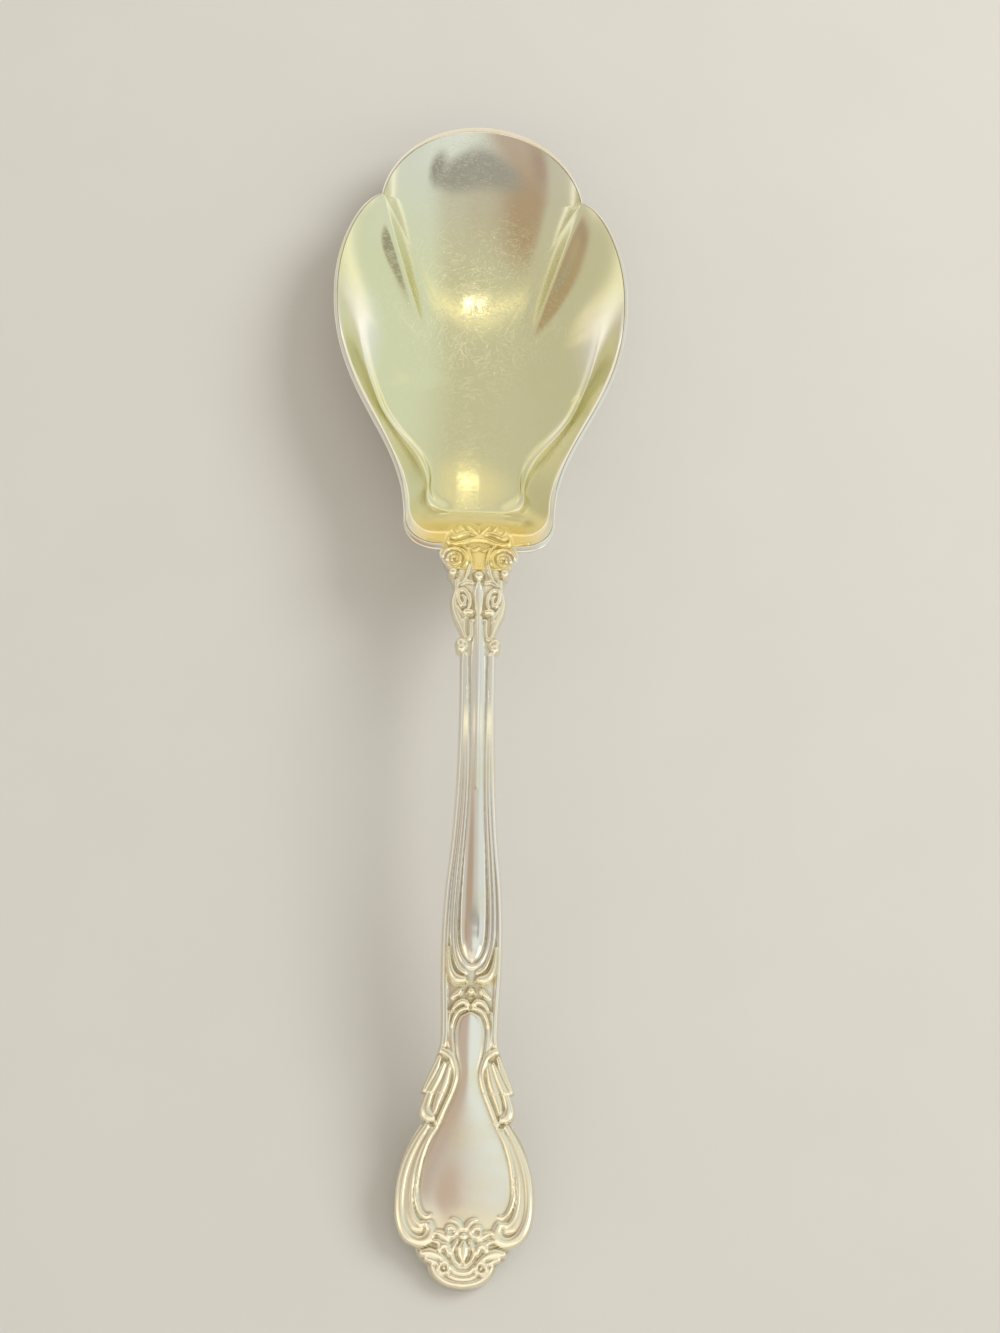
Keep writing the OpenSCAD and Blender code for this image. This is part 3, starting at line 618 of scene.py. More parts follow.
def border_relief(h):
    """Broad outer band and nested ridges that end in curls round the field."""
    cord(h, [(101.5, 6.6), (104, 8.2), (107, 9.65), (110, 10.5), (113.5, 10.85), (116.4, 10.5),
             (118.5, 9.5), (119.5, 8.2), (119.7, 6.9), (119.1, 5.8), (117.9, 5.45), (117.0, 5.8)],
         0.75, (0.55, 0.8, 0.95, 1.0, 1.05, 0.8))
    cord(h, [(103, 6.9), (107, 8.85), (110, 9.6), (113, 9.75), (115.5, 9.3), (117.3, 8.3),
             (117.7, 7.2)], 0.42, (0.4, 0.8, 0.9, 0.9, 0.7, 0.5))
    cord(h, [(102, 5.85), (105, 7.45), (108, 8.45), (111, 8.9), (114, 8.8), (116, 8.2), (117.0, 7.2),
             (116.8, 6.7)], 0.52, (0.35, 0.42, 0.5))
    cord(h, [(101.7, 5.1), (104, 6.45), (107, 7.5), (110, 8.0), (112.8, 8.05), (114.8, 7.4),
             (115.8, 6.4), (115.6, 5.8)], 0.52, (0.3, 0.38, 0.45))


def field_relief(h):
    """Plain domed field inside the borders, which runs on under the leaf spray."""
    panel(h, [(83.3, 0.05), (83.8, 1.4), (84.7, 2.1), (86, 2.4), (88, 2.5), (91, 2.15), (93, 1.8),
              (95, 2.05), (98, 3.15), (101, 4.6), (104, 5.9), (107, 6.95), (110, 7.5), (112.5, 7.65),
              (114.5, 7.3), (116, 6.7), (117.5, 5.7), (119, 4.2), (120, 2.4), (120.6, 0.1)], 0.6, 0.5)


def tail_relief(h):
    """Leaf spray with rosettes and a bud on a low mound, and the shell rim at the end."""
    stamp(h, [(117.6, 0), (120, 0), (123.4, 0)], 0.55, (2.8, 5.2, 3.4))
    cord(h, [(117.6, 0.35), (116.7, 1.0), (116.2, 1.9)], 1.0, (0.55, 0.6, 0.3))
    stamp(h, arc((118.2, 2.1), 0.8, 60, 380, 0.8), 1.1, (0.48, 0.42))
    bead(h, 118.2, 2.1, 0.36, 1.05)
    cord(h, [(119.3, 2.6), (118.6, 3.6), (118.3, 4.5)], 1.0, (0.55, 0.72, 0.4))
    cord(h, [(120.2, 3.4), (119.7, 4.2), (119.6, 4.9)], 0.85, (0.5, 0.6, 0.35))
    bead(h, 118.8, 0, 0.6, 1.15)
    stamp(h, [(119.8, 0), (121, 0), (123.2, 0)], 1.4, (0.6, 1.25, 1.15, 0.25))
    cord(h, [(119.6, 1.1), (120.9, 1.8), (122.4, 1.45), (123.3, 0.5)], 1.0, (0.5, 0.5, 0.36))
    cord(h, [(121.4, 2.3), (120.4, 2.6), (120.3, 3.4), (121.0, 3.9)], 1.05, (0.6, 0.8, 0.5))
    cord(h, [(122.8, 2.6), (121.9, 3.9), (121.4, 5.4), (121.5, 6.8)], 0.95, (0.5, 0.8, 0.95, 0.65))
    cord(h, [(123.0, 4.3), (122.6, 5.2), (122.4, 6.0)], 0.75, (0.45, 0.6, 0.45))
    stamp(h, arc((123.75, 3.1), 0.85, 0, 360), 0.95, 0.42)
    bead(h, 123.75, 3.1, 0.38, 0.9)
    cord(h, [(123.6, 1.8), (124.3, 1.1), (124.5, 0)], 0.75, 0.48)
    cord(h, [(124.9, 2.1), (125.3, 1.1), (125.4, 0)], 0.7, 0.42)
    cord(h, [(123.5, 4.9), (124.9, 4.1), (126.0, 2.3), (126.3, 0)], 0.7, (0.5, 0.65, 0.65))


def handle_relief():
    """Height, recess tone and warm wash of the handle's upper side, as rasters over (s, x); the recess
    tone is patina and painted shade in the hollows.
    """
    height = np.zeros((len(S_AXIS), len(X_AXIS)))
    for part in (neck_relief, link_relief, shoulder_relief, border_relief, tail_relief):
        part(height)
    wash = np.clip(blurred(height, WASH_REACH) / WASH_DEPTH, 0, 1)
    stem_relief(height)
    field_relief(height)
    height = blurred(height, SOFTEN)
    # Darkening in the hollows beside the cords: partly patina, partly painted shade
    tone = np.clip((blurred(height, TONE_REACH) - height) / TONE_DEPTH, 0, 1)
    return height, tone, wash


def build_handle(material):
    """Handle with its relief on top and a plain rounded underside."""
    height, tone, wash = handle_relief()
    end = HANDLE_LENGTH - END_GAP
    s = np.concatenate([np.arange(SOLDER_FILM, end - END_STRETCH, ROW_STEP),
                        end - END_STRETCH * np.linspace(1, 0, END_ROWS) ** 2])
    t = np.linspace(-1, 1, COLUMNS)
    f = mix(t, np.sin(math.pi / 2 * t), COLUMN_CROWDING)[None, :]
    w, places = half_width(s)[:, None], s[:, None]
    x = w * f
    fade = ease((w - np.abs(x)) / EDGE_FADE)
    middle = arch(s)[:, None]
    upper = middle + crown(f, places) + fade * sampled(height, places, x)
    top = np.stack(np.broadcast_arrays(x, HEEL_Y - places, upper), -1)
    g = np.cos(np.linspace(0, math.pi, UNDER_COLUMNS))[None, 1:-1]
    under = np.stack(np.broadcast_arrays(w * g, HEEL_Y - places, middle - crown(g, places)), -1)
    rings = np.concatenate([top, under], 1)
    plain = np.zeros(under.shape[:2])
    layers = {"tone": fade * sampled(tone, places, x), "wash": sampled(wash, places, x)}
    for name, layer in layers.items():
        layers[name] = np.append(np.concatenate([layer, plain], 1).ravel(), [0, 0])
    points, faces = closed_rings(rings, flip=True)
    piece("scrolled_handle", "handle", points, faces, material, layers)


# Crest over the heel: s is less than 0 on the bowl

CREST_FRONT = -5.6
CREST_BACK = 4.3
CREST_ROWS = 90
CREST_COLUMNS = 121
CREST_LOBES = 1.8
CREST_LOBE_POWER = 0.8
CREST_HALF = [(-9, 4.6), (-5, 5.6), (-1, 6.5), (1.4, 7.05), (3, 6.4), (CREST_BACK, 5.4)]
CREST_SIDE_FADE = 9
CREST_END_FADE = 7
CREST_EDGE = 0.06
CREST_BODY = 0.1
CREST_GAIN = 1.2
VOLUTE = (2.3, 4.4)

# Line that the crest lies on
SEAT_FROM = -9
SEAT_STEPS = 400
SEAT_EVENED = 25
HEEL_LINE_FROM = 0.6
HEEL_LINE_STEPS = 300


def crest_relief():
    """Height and recess tone of the crest: ribbons, a small V and two volutes. The tone is patina and
    painted shade in the hollows.
    """
    h = np.zeros((len(S_AXIS), len(X_AXIS)))
    cord(h, [(-1.9, 0.15), (-1.75, 1.5), (-1.15, 3.0), (-0.85, 4.4), (-1.2, 5.4), (-1.9, 5.6)],
         0.55, (0.4, 0.45, 0.3))
    cord(h, [(-2.5, 0.45), (-3.15, 1.6), (-2.95, 2.9), (-2.3, 4.2), (-2.3, 5.0)], 0.5, (0.35, 0.5, 0.3))
    cord(h, [(-2.2, 0), (-3.4, 0.8), (-4.6, 1.7), (-5.6, 2.1)], 0.45, (0.4, 0.4, 0.2))
    stamp(h, [(-3.4, 0), (-5.4, 0)], 0.3, (0.3, 0.15))
    cord(h, [(-3.4, 2.4), (-4.6, 3.2), (-6.0, 3.7)], 0.4, (0.45, 0.35, 0.15))
    cord(h, [(-2.7, 4.3), (-3.8, 4.9), (-4.9, 4.9)], 0.3, (0.35, 0.15))
    stamp(h, arc(VOLUTE, 2.15, 15, 300), 0.65, (0.4, 0.55, 0.5))
    stamp(h, arc(VOLUTE, 1.25, -10, 280, 0.9), 0.5, (0.3, 0.36, 0.32))
    stamp(h, arc(VOLUTE, 0.5, -30, 200), 0.45, 0.28)
    cord(h, [(-0.5, 2.7), (0.6, 1.9), (2.2, 1.5), (4.3, 1.65)], 0.45, (0.3, 0.4, 0.4))
    cord(h, [(-0.3, 0), (0.3, 0.9), (-0.2, 1.9)], 0.3, 0.3)
    h = blurred(h, SOFTEN)
    # Darkening in the hollows: partly patina, partly painted shade
    return h, np.clip((blurred(h, TONE_REACH) - h) / TONE_DEPTH, 0, 1)


def crest_seat(s):
    """Heights and normals of the line that the crest lies on: the bowl's heel, then the neck."""
    line = bowl_inside(np.linspace(HEEL_LINE_FROM, 1, HEEL_LINE_STEPS), HEEL_RAY)[0]
    places = np.linspace(SEAT_FROM, CREST_BACK + 1, SEAT_STEPS)
    heel = np.interp(places, HEEL_Y - line[:, 1], line[:, 2]) + FIT_GAP + GILDING
    neck = arch(np.maximum(places, 0)) + thickness(np.maximum(places, 0)) / 2
    level = np.where(places < 0, heel, neck)
    slope = np.gradient(level, places)
    slope = np.pad(slope, SEAT_EVENED // 2, mode="edge")
    slope = np.convolve(slope, np.ones(SEAT_EVENED) / SEAT_EVENED, "valid")
    lean = np.hypot(1, slope)
    return [np.interp(s, places, values) for values in (level, slope / lean, 1 / lean)]


def build_crest(material):
    """Scrolled crest that laps over the heel and feathers out on the gilt."""
    height, tone = crest_relief()
    f = np.linspace(-1, 1, CREST_COLUMNS)[None, :]
    v = np.linspace(0, 1, CREST_ROWS)[:, None]
    front = CREST_FRONT - CREST_LOBES * np.sin(math.pi * np.abs(f) ** CREST_LOBE_POWER)
    s = mix(front, CREST_BACK, v)
    x = f * through(CREST_HALF, s)
    to_end = np.minimum(v, 1 - v) * CREST_END_FADE
    border = ease(np.minimum((1 - np.abs(f)) * CREST_SIDE_FADE, to_end))
    seat, lean_y, lean_z = crest_seat(s)

    def raised(up):
        return np.stack([x, HEEL_Y - s + up * lean_y, seat + up * lean_z], -1)

    lift = CREST_EDGE + border * (CREST_BODY + CREST_GAIN * sampled(height, s, x))
    high = raised(FIT_GAP + lift)
    low = raised(np.full(s.shape, FIT_GAP))
    rings = np.concatenate([high, low[:, ::-1]], 1)
    points, faces = closed_rings(rings, flip=True)
    shade = np.concatenate([border * sampled(tone, s, x), np.zeros(low.shape[:2])], 1)
    piece("heel_crest", "neck_crest", points, faces, material,
          {"tone": np.append(shade.ravel(), [0, 0])}, sharp=0)


# Drop under the heel

DROP_HALF = 4.5
DROP_DEPTH = 1.9
DROP_REACH = 0.287
DROP_ROWS = 60
DROP_COLUMNS = 25
DROP_TAPER = 0.8
DROP_TAPER_POWER = 1.5
DROP_THINS = 0.85


def build_drop(material):
    """Tapering drop that carries the handle's line on under the bowl."""
    line = bowl_inside(np.linspace(1, 1 - DROP_REACH, DROP_ROWS), HEEL_RAY)[0]
    along = np.gradient(line, axis=0)
    down = unit(np.stack([np.zeros(DROP_ROWS), -along[:, 2], along[:, 1]], 1))
    down[down[:, 2] > 0] *= -1
    down[0] = [0, 0, -1]
    t = np.linspace(0, 1, DROP_ROWS)[:, None]
    half = DROP_HALF * (1 - DROP_TAPER * t ** DROP_TAPER_POWER)
    deep = DROP_DEPTH * (1 - DROP_THINS * t)
    f = np.cos(np.linspace(0, math.pi, DROP_COLUMNS))[None, :]
    seat = line + down * (SHEET + FIT_GAP)
    aside = np.stack(np.broadcast_arrays(half * f, 0.0, 0.0), -1)

    def rows(depth):
        return seat[:, None] + aside + down[:, None] * depth[..., None]

    under = rows(deep * np.sqrt(np.maximum(0, 1 - f * f)))
    above = rows(np.zeros((DROP_ROWS, DROP_COLUMNS)))[:, -2:0:-1]
    points, faces = closed_rings(np.concatenate([under, above], 1))
    points[:, 2] = np.maximum(points[:, 2], 0)
    piece("rat_tail_drop", "heel_drop", points, faces, material)


# Materials

class Graph:
    """Node tree of a material or the world, written as nested calls."""

    def __init__(self, owner):
        owner.use_nodes = True
        self.tree = owner.node_tree
        self.tree.nodes.clear()

    def add(self, kind, inputs=None, **settings):
        """New node with its settings. An input is a value or a socket to link."""
        node = self.tree.nodes.new(kind)
        for key, value in settings.items():
            setattr(node, key, value)
        for key, value in (inputs or {}).items():
            if isinstance(value, bpy.types.NodeSocket):
                self.tree.links.new(value, node.inputs[key])
            else:
                node.inputs[key].default_value = value
        return node

    def math(self, operation, a, b=0.0):
        return self.add("ShaderNodeMath", {0: a, 1: b}, operation=operation).outputs[0]

    def plus(self, a, b):
        return self.math("ADD", a, b)

    def times(self, a, b):
        return self.math("MULTIPLY", a, b)

    def place(self):
        """Place on the object in metres, then its three parts."""
        place = self.add("ShaderNodeTexCoord").outputs["Object"]
        return place, *self.add("ShaderNodeSeparateXYZ", {0: place}).outputs

    def attribute(self, name):
        return self.add("ShaderNodeAttribute", attribute_name=name).outputs["Fac"]

    def span(self, value, ends, low=0.0, high=1.0):
        """Low to high, smoothly, as a value goes from one of two ends to the other."""
        inputs = {"Value": value, "From Min": ends[0], "From Max": ends[1], "To Min": low, "To Max": high}
        return self.add("ShaderNodeMapRange", inputs, interpolation_type="SMOOTHSTEP").outputs["Result"]

    def stretch(self, place, ends):
        """0 to 1 as a place in metres goes from one end to the other, which are in millimetres."""
        return self.span(place, [end * MM for end in ends])

    def blend(self, factor, a, b):
        """Mix of two colours."""
        return self.add("ShaderNodeMix", {0: factor, 6: a, 7: b}, data_type="RGBA").outputs[2]

    def noise(self, vector, scale, detail):
        inputs = {"Vector": vector, "Scale": scale, "Detail": detail}
        return self.add("ShaderNodeTexNoise", inputs).outputs["Fac"]

    def scratches(self, vector, angle, length, density, level):
        """Fine straight marks that run one way: noise drawn out along a line, with breaks."""
        turn = {"Vector": vector, "Rotation": (0, 0, math.radians(angle))}
        turned = self.add("ShaderNodeMapping", turn).outputs[0]
        draw = {"Vector": turned, "Scale": (1, 1 / length, 1)}
        drawn = self.add("ShaderNodeMapping", draw).outputs[0]
        lines = self.span(self.noise(drawn, density, 1), (level, level + MARK_EDGE))
        breaks = self.span(self.noise(turned, density / MARKS_IN_PATCH, 1), MARK_BREAKS)
        return self.times(lines, breaks)

    def metal(self, colour, roughness, bump, strength, distance):
        """Metal shader and its output. The bump's distance is in millimetres."""
        relief = {"Height": bump, "Strength": strength, "Distance": distance * MM}
        normal = self.add("ShaderNodeBump", relief).outputs[0]
        inputs = {"Base Color": colour, "Metallic": 1.0, "Roughness": roughness, "Normal": normal}
        shader = self.add("ShaderNodeBsdfPrincipled", inputs)
        self.add("ShaderNodeOutputMaterial", {"Surface": shader.outputs[0]})


# Colours
SILVER = (0.90, 0.87, 0.80, 1)
SILVER_WARM = (0.89, 0.83, 0.69, 1)
SILVER_GOLD = (0.93, 0.86, 0.65, 1)
# Colour of the handle's hollows: partly patina, partly painted shade
RECESS_PATINA_AND_SHADE = (0.46, 0.40, 0.25, 1)
GILT_PALE = (0.83, 0.81, 0.52, 1)
# Pale gold painted up the walls and along the heel's foot: painted reflection
GILT_WALL_SHEEN = (0.95, 0.93, 0.83, 1)
GILT_WORN = (0.85, 0.83, 0.72, 1)
GILT_DEEP = (0.86, 0.69, 0.27, 1)
# Pale cream of the scratches: wear marks, brightened as painted glints
GILT_SCRATCH_GLINT = (0.97, 0.92, 0.66, 1)
CREST_GOLD = (0.95, 0.80, 0.36, 1)
# Brown of the crest's hollows: partly patina, partly painted shade
CREST_RECESS_PATINA_AND_SHADE = (0.55, 0.40, 0.13, 1)
SOLDER_DULL = (0.62, 0.61, 0.58, 1)
SOLDER_PALE = (0.75, 0.74, 0.71, 1)
FLOOR_DULL = (0.60, 0.59, 0.57, 1)
FLOOR_PALE = (0.63, 0.62, 0.60, 1)

# Clouds of noise: patches in a metre, detail
GILT_CLOUD = (90, 3)
SILVER_CLOUD = (120, 3)
RECESS_CLOUD = (900, 4)
CREST_CLOUD = (300, 3)
SOLDER_CLOUD = (2500, 4)
FLOOR_CLOUD = (40, 4)

# Bumps: strength, depth in millimetres
GILT_BUMP = (0.4, 0.03)
SILVER_BUMP = (0.1, 0.015)
CREST_BUMP = (0.2, 0.015)
SOLDER_BUMP = (0.3, 0.02)

# Marks of use: direction in degrees, length over width, how many in a metre, noise level of a mark
WEAR = [(20, 60, 4600, 0.63), (-35, 54, 5200, 0.63), (75, 64, 4800, 0.64),
        (-80, 50, 5600, 0.63), (50, 70, 5400, 0.64), (-10, 58, 4300, 0.64)]
MARK_EDGE = 0.05
MARK_BREAKS = (0.46, 0.56)
MARKS_IN_PATCH = 9


def wear_marks(graph, place):
    """Marks of use in several directions, from 0 to 1."""
    total = 0.0
    for direction in WEAR:
        total = graph.math("MAXIMUM", total, graph.scratches(place, *direction))
    return total


# Shades of the gold wash: where each starts and where it is full, in millimetres
DEEP_ALONG = (HEEL_Y + 22, HEEL_Y + 10)
DEEP_ACROSS = (15, 7)
DEEP_RAGGED = 12
WORN_ALONG = (TIP_Y - 32, TIP_Y)
# Where the walls and the heel's foot turn paler: painted reflection
WALL_UP = (5.5, 9)
WALL_AHEAD = (WIDEST_Y + 6, WIDEST_Y - 8)
WALL_BEHIND = (HEEL_Y + 4, HEEL_Y + 14)
FOOT_UP = (3.4, 5)
FOOT_AHEAD = (HEEL_Y + 36, HEEL_Y + 28)
# Middle where the scratches crowd: wear, placed also round the highlight where painted glints show
RUBBED_AND_GLINT_PLACE = (0, LOW_Y + 17, 0)
RUBBED_AND_GLINT_REACH = (24, 5)

# Wear, painted glints and roughness of the gold wash
RUBBED_SPAN = (0.1, 1.2)
RUBBED_AND_GLINT_MARKS = 0.8
OTHER_MARKS = 0.16
MARKS_SHOW = 0.8
CLOUD_SHARE = 0.4
GILT_ROUGH = (0.06, 0.10)
GILT_MARK_ROUGH = 0.14
STEEP = (0.94, 0.72)
STEEP_ROUGH = 0.16


def gilt_material():
    """Pale gold wash, deeper at the heel, with painted reflection paler up the walls and along the heel's
    foot, and worn by scratches in the middle whose pale cream is partly painted glint.
    """
    made = bpy.data.materials.new("gold_wash")
    graph = Graph(made)
    place, x, y, z = graph.place()
    cloud = graph.noise(place, *GILT_CLOUD)
    to_heel = graph.stretch(graph.plus(y, graph.times(cloud, DEEP_RAGGED * MM)), DEEP_ALONG)
    inside = graph.stretch(graph.math("ABSOLUTE", x), DEEP_ACROSS)
    # Painted reflection: paler gold up the walls and along the heel's foot
    painted_wall_sheen = graph.times(graph.stretch(z, WALL_UP), graph.stretch(y, WALL_AHEAD))
    painted_wall_sheen = graph.times(painted_wall_sheen, graph.stretch(y, WALL_BEHIND))
    foot = graph.times(graph.stretch(z, FOOT_UP), graph.stretch(y, FOOT_AHEAD))
    colour = graph.blend(graph.math("MAXIMUM", painted_wall_sheen, foot), GILT_PALE, GILT_WALL_SHEEN)
    colour = graph.blend(graph.stretch(y, WORN_ALONG), colour, GILT_WORN)
    colour = graph.blend(graph.times(to_heel, inside), colour, GILT_DEEP)
    # Scratches crowd round the middle and take a pale cream: wear marks, brightened as painted glints
    middle = tuple(v * MM for v in RUBBED_AND_GLINT_PLACE)
    away = graph.add("ShaderNodeVectorMath", {0: place, 1: middle}, operation="DISTANCE").outputs["Value"]
    rubbed = graph.stretch(away, RUBBED_AND_GLINT_REACH)
    amount = graph.plus(graph.times(rubbed, RUBBED_AND_GLINT_MARKS), OTHER_MARKS)
    marks = graph.times(wear_marks(graph, place), amount)
    colour = graph.blend(graph.times(marks, MARKS_SHOW), colour, GILT_SCRATCH_GLINT)
    rough = graph.span(graph.plus(rubbed, graph.times(cloud, CLOUD_SHARE)), RUBBED_SPAN, *GILT_ROUGH)
    rough = graph.plus(rough, graph.times(marks, GILT_MARK_ROUGH))
    normal = graph.add("ShaderNodeNewGeometry").outputs["Normal"]
    upright = graph.add("ShaderNodeSeparateXYZ", {0: normal}).outputs[2]
    rough = graph.plus(rough, graph.span(upright, STEEP, 0.0, STEEP_ROUGH))
    graph.metal(colour, rough, marks, *GILT_BUMP)
    return made


# Silver: where the neck's gold starts and is full, in millimetres, then shares and roughness
NECK_GOLD_ALONG = (HEEL_Y - 2.5, HEEL_Y + 1.5)
NECK_GOLD_ACROSS = (4.6, 2.4)
NECK_GOLD_RAGGED = 4
WARM_CLOUDS = (0.42, 0.68)
ROUGH_CLOUDS = (0.3, 0.7)
MARK_CLOUDS = (0.35, 0.65)
GRAIN = (0.2, 0.7)
RECESS_SHOWS = (0.6, 0.9)
WASH_SHOWS = 0.8
SILVER_ROUGH = (0.09, 0.15)
WASH_ROUGH = 0.08
RECESS_ROUGH = 0.15
SILVER_MARK_ROUGH = 0.06


def silver_material(name, toned):
    """Polished silver with handling marks.

    A toned one is warm over its ornament, dark in its recesses from patina and painted shade, and gold at
    the neck.
    """
    made = bpy.data.materials.new(name)
    graph = Graph(made)
    place, x, y, _ = graph.place()
    cloud = graph.noise(place, *SILVER_CLOUD)
    colour = graph.blend(graph.span(cloud, WARM_CLOUDS), SILVER, SILVER_WARM)
    rough = graph.span(cloud, ROUGH_CLOUDS, *SILVER_ROUGH)
    if toned:
        tone, wash = graph.attribute("tone"), graph.attribute("wash")
        deep = graph.times(tone, graph.span(graph.noise(place, *RECESS_CLOUD), GRAIN, *RECESS_SHOWS))
        along = graph.stretch(graph.plus(y, graph.times(cloud, NECK_GOLD_RAGGED * MM)), NECK_GOLD_ALONG)
        across = graph.stretch(graph.math("ABSOLUTE", x), NECK_GOLD_ACROSS)
        colour = graph.blend(graph.times(wash, WASH_SHOWS), colour, SILVER_GOLD)
        colour = graph.blend(graph.times(along, across), colour, GILT_DEEP)
        # Hollows darkened toward the recess colour: partly patina, partly painted shade
        colour = graph.blend(deep, colour, RECESS_PATINA_AND_SHADE)
        rough = graph.plus(rough, graph.times(wash, WASH_ROUGH))
        rough = graph.plus(rough, graph.times(deep, RECESS_ROUGH))
    marks = graph.times(wear_marks(graph, place), graph.span(cloud, MARK_CLOUDS))
    rough = graph.plus(rough, graph.times(marks, SILVER_MARK_ROUGH))
    graph.metal(colour, rough, marks, *SILVER_BUMP)
    return made


# Crest: where it is rubbed, in millimetres, then shares and roughness
CREST_RUBBED_ACROSS = (4.2, 7.6)
CREST_RUBBED_ALONG = (HEEL_Y + 1, HEEL_Y - 1.5)
CREST_RUBBED_RAGGED = 2
CREST_RECESS_SHOWS = 0.75
CREST_ROUGH = (0.13, 0.2)
CREST_RECESS_ROUGH = 0.2


def crest_material():
    """Deep gold over the crest, browned in its recesses by patina and painted shade, and rubbed silver at
    the sides.
    """
    made = bpy.data.materials.new("crest_gold")
    graph = Graph(made)
    place, x, y, _ = graph.place()
    cloud = graph.noise(place, *CREST_CLOUD)
    aside = graph.plus(graph.math("ABSOLUTE", x), graph.times(cloud, CREST_RUBBED_RAGGED * MM))
    rubbed = graph.times(graph.stretch(aside, CREST_RUBBED_ACROSS), graph.stretch(y, CREST_RUBBED_ALONG))
    tone = graph.attribute("tone")
    colour = graph.blend(rubbed, CREST_GOLD, SILVER_WARM)
    # Hollows browned: partly patina, partly painted shade
    colour = graph.blend(graph.times(tone, CREST_RECESS_SHOWS), colour, CREST_RECESS_PATINA_AND_SHADE)
    rough = graph.span(cloud, ROUGH_CLOUDS, *CREST_ROUGH)
    rough = graph.plus(rough, graph.times(tone, CREST_RECESS_ROUGH))
    graph.metal(colour, rough, wear_marks(graph, place), *CREST_BUMP)
    return made


SOLDER_ROUGH = (0.3, 0.45)


def solder_material():
    """Dull grey hard solder."""
    made = bpy.data.materials.new("hard_solder")
    graph = Graph(made)
    cloud = graph.noise(graph.place()[0], *SOLDER_CLOUD)
    colour = graph.blend(cloud, SOLDER_DULL, SOLDER_PALE)
    graph.metal(colour, graph.span(cloud, ROUGH_CLOUDS, *SOLDER_ROUGH), cloud, *SOLDER_BUMP)
    return made


FLOOR_ROUGH = 0.75


def floor_material():
    """Plain pale matt floor."""
    made = bpy.data.materials.new("pale_floor")
    graph = Graph(made)
    colour = graph.blend(graph.noise(graph.place()[0], *FLOOR_CLOUD), FLOOR_DULL, FLOOR_PALE)
    shader = graph.add("ShaderNodeBsdfPrincipled", {"Base Color": colour, "Roughness": FLOOR_ROUGH})
    graph.add("ShaderNodeOutputMaterial", {"Surface": shader.outputs[0]})
    return made


# Studio, in metres

FLOOR_HALF = 2.0
FLOOR_DROP = 0.00005


def build_floor():
    mesh = bpy.data.meshes.new("floor")
    corners = [(-1, -1), (1, -1), (1, 1), (-1, 1)]
    points = [(x * FLOOR_HALF, y * FLOOR_HALF, -FLOOR_DROP) for x, y in corners]
    mesh.from_pydata(points, [], [(0, 1, 2, 3)])
    mesh.materials.append(floor_material())
    floor = bpy.data.objects.new("floor", mesh)
    bpy.context.scene.collection.objects.link(floor)


def facing(side, up, back, place):
    """Matrix of a lamp or camera at a place, with its side, top and back as given."""
    rows = [[side[i], up[i], back[i], place[i]] for i in range(3)]
    return Matrix(rows + [[0, 0, 0, 1]])


# Lamps: name, direction from the origin, distance, size, power in watts, colour, whether metal shows it
LAMPS = [
    ("key_lamp", (0.056, 0.385, 0.921), 0.957, (0.022, 0.012), 0.008, (1.0, 0.94, 0.80), True),
    ("side_lamp", (0.66, 0.30, 0.69), 0.9, (0.5, 0.5), 4.0, (1.0, 0.97, 0.92), False),
    ("far_lamp", (0.094, 0.610, 0.787), 0.92, (0.15, 0.005), 0.006, (1.0, 0.86, 0.56), True)]


def build_lamp(name, towards, distance, size, power, colour, mirrored):
    """Soft oval lamp that looks at the origin."""
    lamp = bpy.data.lights.new(name, "AREA")
    lamp.shape = "ELLIPSE"
    lamp.size, lamp.size_y = size
    lamp.energy = power
    lamp.color = colour
    obj = bpy.data.objects.new(name, lamp)
    back = unit(np.array(towards, float))
    side = unit(np.cross([0, 1, 0], back))
    obj.matrix_world = facing(side, np.cross(back, side), back, back * distance)
    obj.visible_glossy = mirrored
    bpy.context.scene.collection.objects.link(obj)


# Soft ovals on the sky as seen from above: middle x and y, half-sizes, softness, colour
ROOM = {
    "far wall": ((0.0, 0.84), (0.80, 0.20), 0.3, (0.88, 0.82, 0.70, 1)),
    "right wall": ((0.66, 0.22), (0.38, 0.50), 0.4, (0.74, 0.79, 0.77, 1)),
    "left wall": ((-0.66, 0.22), (0.38, 0.50), 0.4, (0.62, 0.59, 0.53, 1)),
    "near wall": ((0.05, -0.60), (0.60, 0.16), 0.4, (0.92, 0.87, 0.75, 1)),
    "cool ceiling": ((0.30, -0.26), (0.32, 0.18), 0.5, (0.82, 0.87, 0.84, 1)),
    "brown ceiling": ((-0.26, -0.26), (0.26, 0.18), 0.4, (0.56, 0.46, 0.39, 1)),
    "brown spot": ((-0.03, -0.43), (0.09, 0.035), 0.6, (0.58, 0.44, 0.34, 1)),
    "right window": ((0.80, -0.45), (0.20, 0.16), 0.35, (1.7, 1.7, 1.6, 1)),
    "left window": ((-0.78, -0.45), (0.20, 0.16), 0.35, (1.35, 1.22, 1.0, 1)),
    "near window": ((0.05, -0.80), (0.50, 0.12), 0.4, (1.3, 1.2, 1.0, 1)),
    "left shade": ((-0.28, 0.04), (0.27, 0.17), 0.5, (0.49, 0.37, 0.28, 1)),
    "left spot": ((-0.50, -0.14), (0.12, 0.10), 0.8, (0.46, 0.35, 0.29, 1)),
    "right spot": ((0.40, -0.105), (0.09, 0.05), 0.5, (0.36, 0.34, 0.31, 1)),
    "dim band": ((0.09, -0.08), (0.33, 0.055), 0.4, (0.39, 0.38, 0.36, 1)),
    "pale strip": ((0.08, 0.335), (0.40, 0.03), 0.8, (1.2, 1.1, 0.80, 1)),
    "pale spot": ((-0.80, 0.52), (0.07, 0.025), 0.9, (1.1, 1.0, 0.76, 1)),
    "far strip": ((0.09, 0.585), (0.22, 0.02), 0.9, (0.95, 0.85, 0.60, 1))}

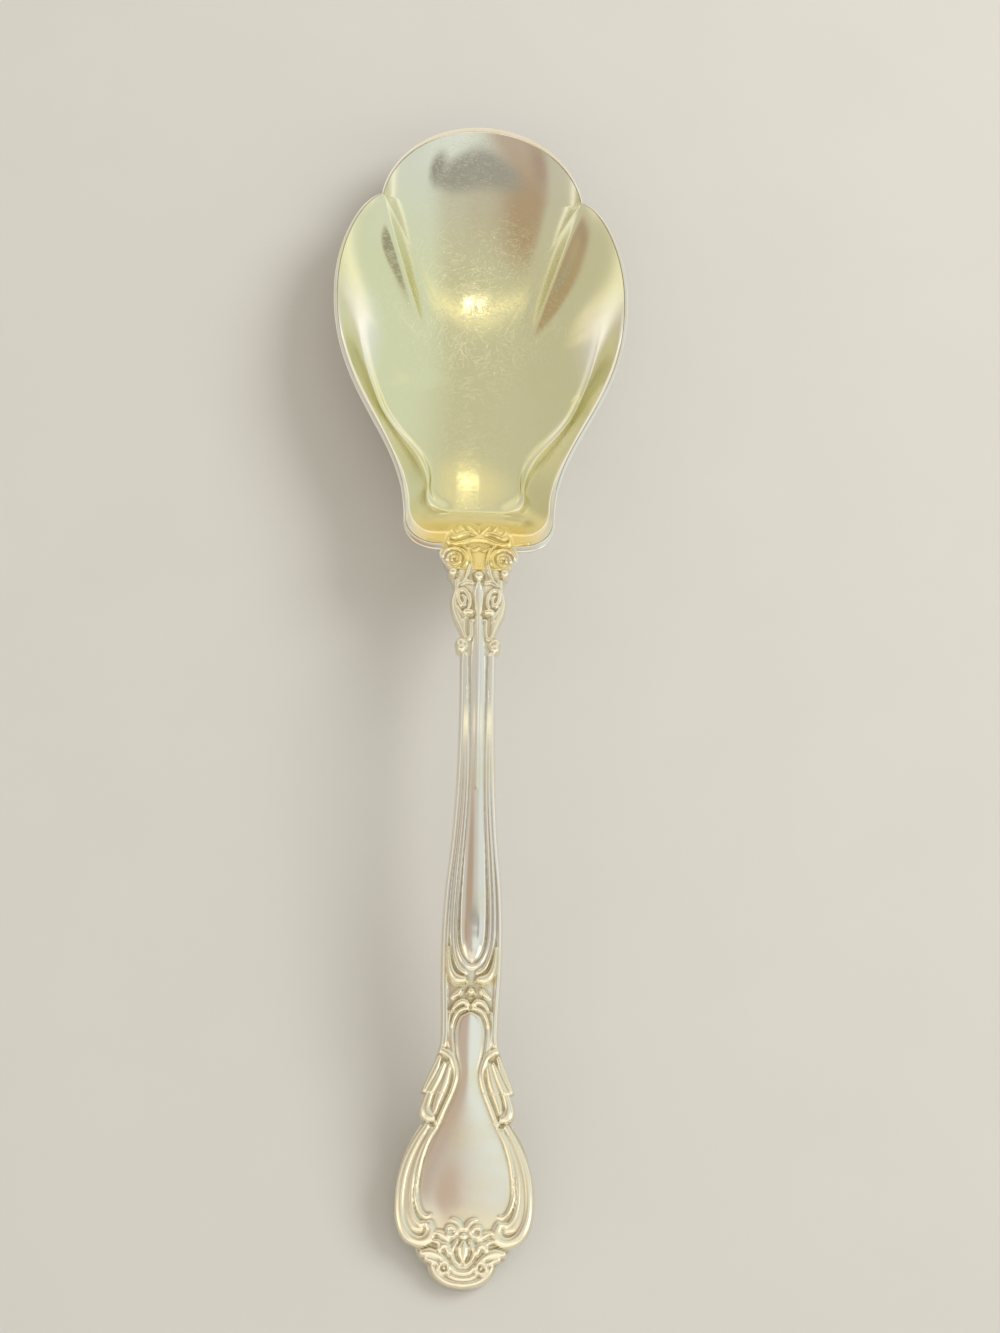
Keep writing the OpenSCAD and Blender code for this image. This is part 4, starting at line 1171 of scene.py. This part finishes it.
# The rest of the room: colours, and heights from 0 at the horizon to 1 overhead
HORIZON = (0.90, 0.88, 0.83, 1)
OVERHEAD = (0.64, 0.62, 0.56, 1)
SKYLINE = (1.2, 1.17, 1.1, 1)
DIMMING = (0.15, 0.50)
SKYLINE_FOOT = (0.06, 0.12)
SKYLINE_TOP = (0.28, 0.18)


def build_world():
    """Room that the metal mirrors: dimmer overhead, with soft ovals and a bright band low all round."""
    world = bpy.data.worlds.new("studio")
    bpy.context.scene.world = world
    graph = Graph(world)
    towards = graph.add("ShaderNodeTexCoord").outputs["Generated"]
    height = graph.add("ShaderNodeSeparateXYZ", {0: towards}).outputs[2]
    colour = graph.blend(graph.span(height, DIMMING), HORIZON, OVERHEAD)
    for name, ((x, y), (half_x, half_y), soft, shade) in ROOM.items():
        scale, shift = (1 / half_x, 1 / half_y, 0), (-x / half_x, -y / half_y, 0)
        off = graph.add("ShaderNodeVectorMath", {0: towards, 1: scale, 2: shift},
                        operation="MULTIPLY_ADD", label=name).outputs[0]
        far = graph.add("ShaderNodeVectorMath", {0: off}, operation="LENGTH").outputs["Value"]
        colour = graph.blend(graph.span(far, (1 + soft, 1 - soft)), colour, shade)
    skyline = graph.times(graph.span(height, SKYLINE_FOOT), graph.span(height, SKYLINE_TOP))
    colour = graph.blend(skyline, colour, SKYLINE)
    shader = graph.add("ShaderNodeBackground", {"Color": colour, "Strength": 1.0})
    graph.add("ShaderNodeOutputWorld", {"Surface": shader.outputs[0]})


# Camera of the photograph: angles in degrees, lengths in millimetres
VIEW_AZIMUTH = -9.68
VIEW_ELEVATION = 68.0
VIEW_ROLL = 11.12
VIEW_TARGET = np.array([4.46, -3.77, 12])
VIEW_DISTANCE = 420
VIEW_LENS = 63.53
VIEW_SENSOR = 36
VIEW_NEAREST = 10


def build_camera():
    a, e, r = (math.radians(v) for v in (VIEW_AZIMUTH, VIEW_ELEVATION, VIEW_ROLL))
    back = np.array([math.sin(a) * math.cos(e), -math.cos(a) * math.cos(e), math.sin(e)])
    right = np.array([math.cos(a), math.sin(a), 0])
    up = np.cross(back, right)
    side, top = right * math.cos(r) + up * math.sin(r), up * math.cos(r) - right * math.sin(r)
    lens = bpy.data.cameras.new("camera")
    lens.lens = VIEW_LENS
    lens.sensor_width = VIEW_SENSOR
    lens.clip_start = VIEW_NEAREST * MM
    camera = bpy.data.objects.new("camera", lens)
    camera.matrix_world = facing(side, top, back, (VIEW_TARGET + VIEW_DISTANCE * back) * MM)
    bpy.context.scene.collection.objects.link(camera)
    bpy.context.scene.camera = camera


bpy.context.scene.view_settings.view_transform = "Standard"
build_camera()
build_world()
build_floor()
for lamp_values in LAMPS:
    build_lamp(*lamp_values)

bowl_silver = silver_material("bowl_silver", False)
build_bowl(bowl_silver)
build_lining(gilt_material())
build_handle(silver_material("handle_silver", True))
build_crest(crest_material())
build_drop(bowl_silver)
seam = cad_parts["solder_seam"]
seam.data.materials.clear()
seam.data.materials.append(solder_material())
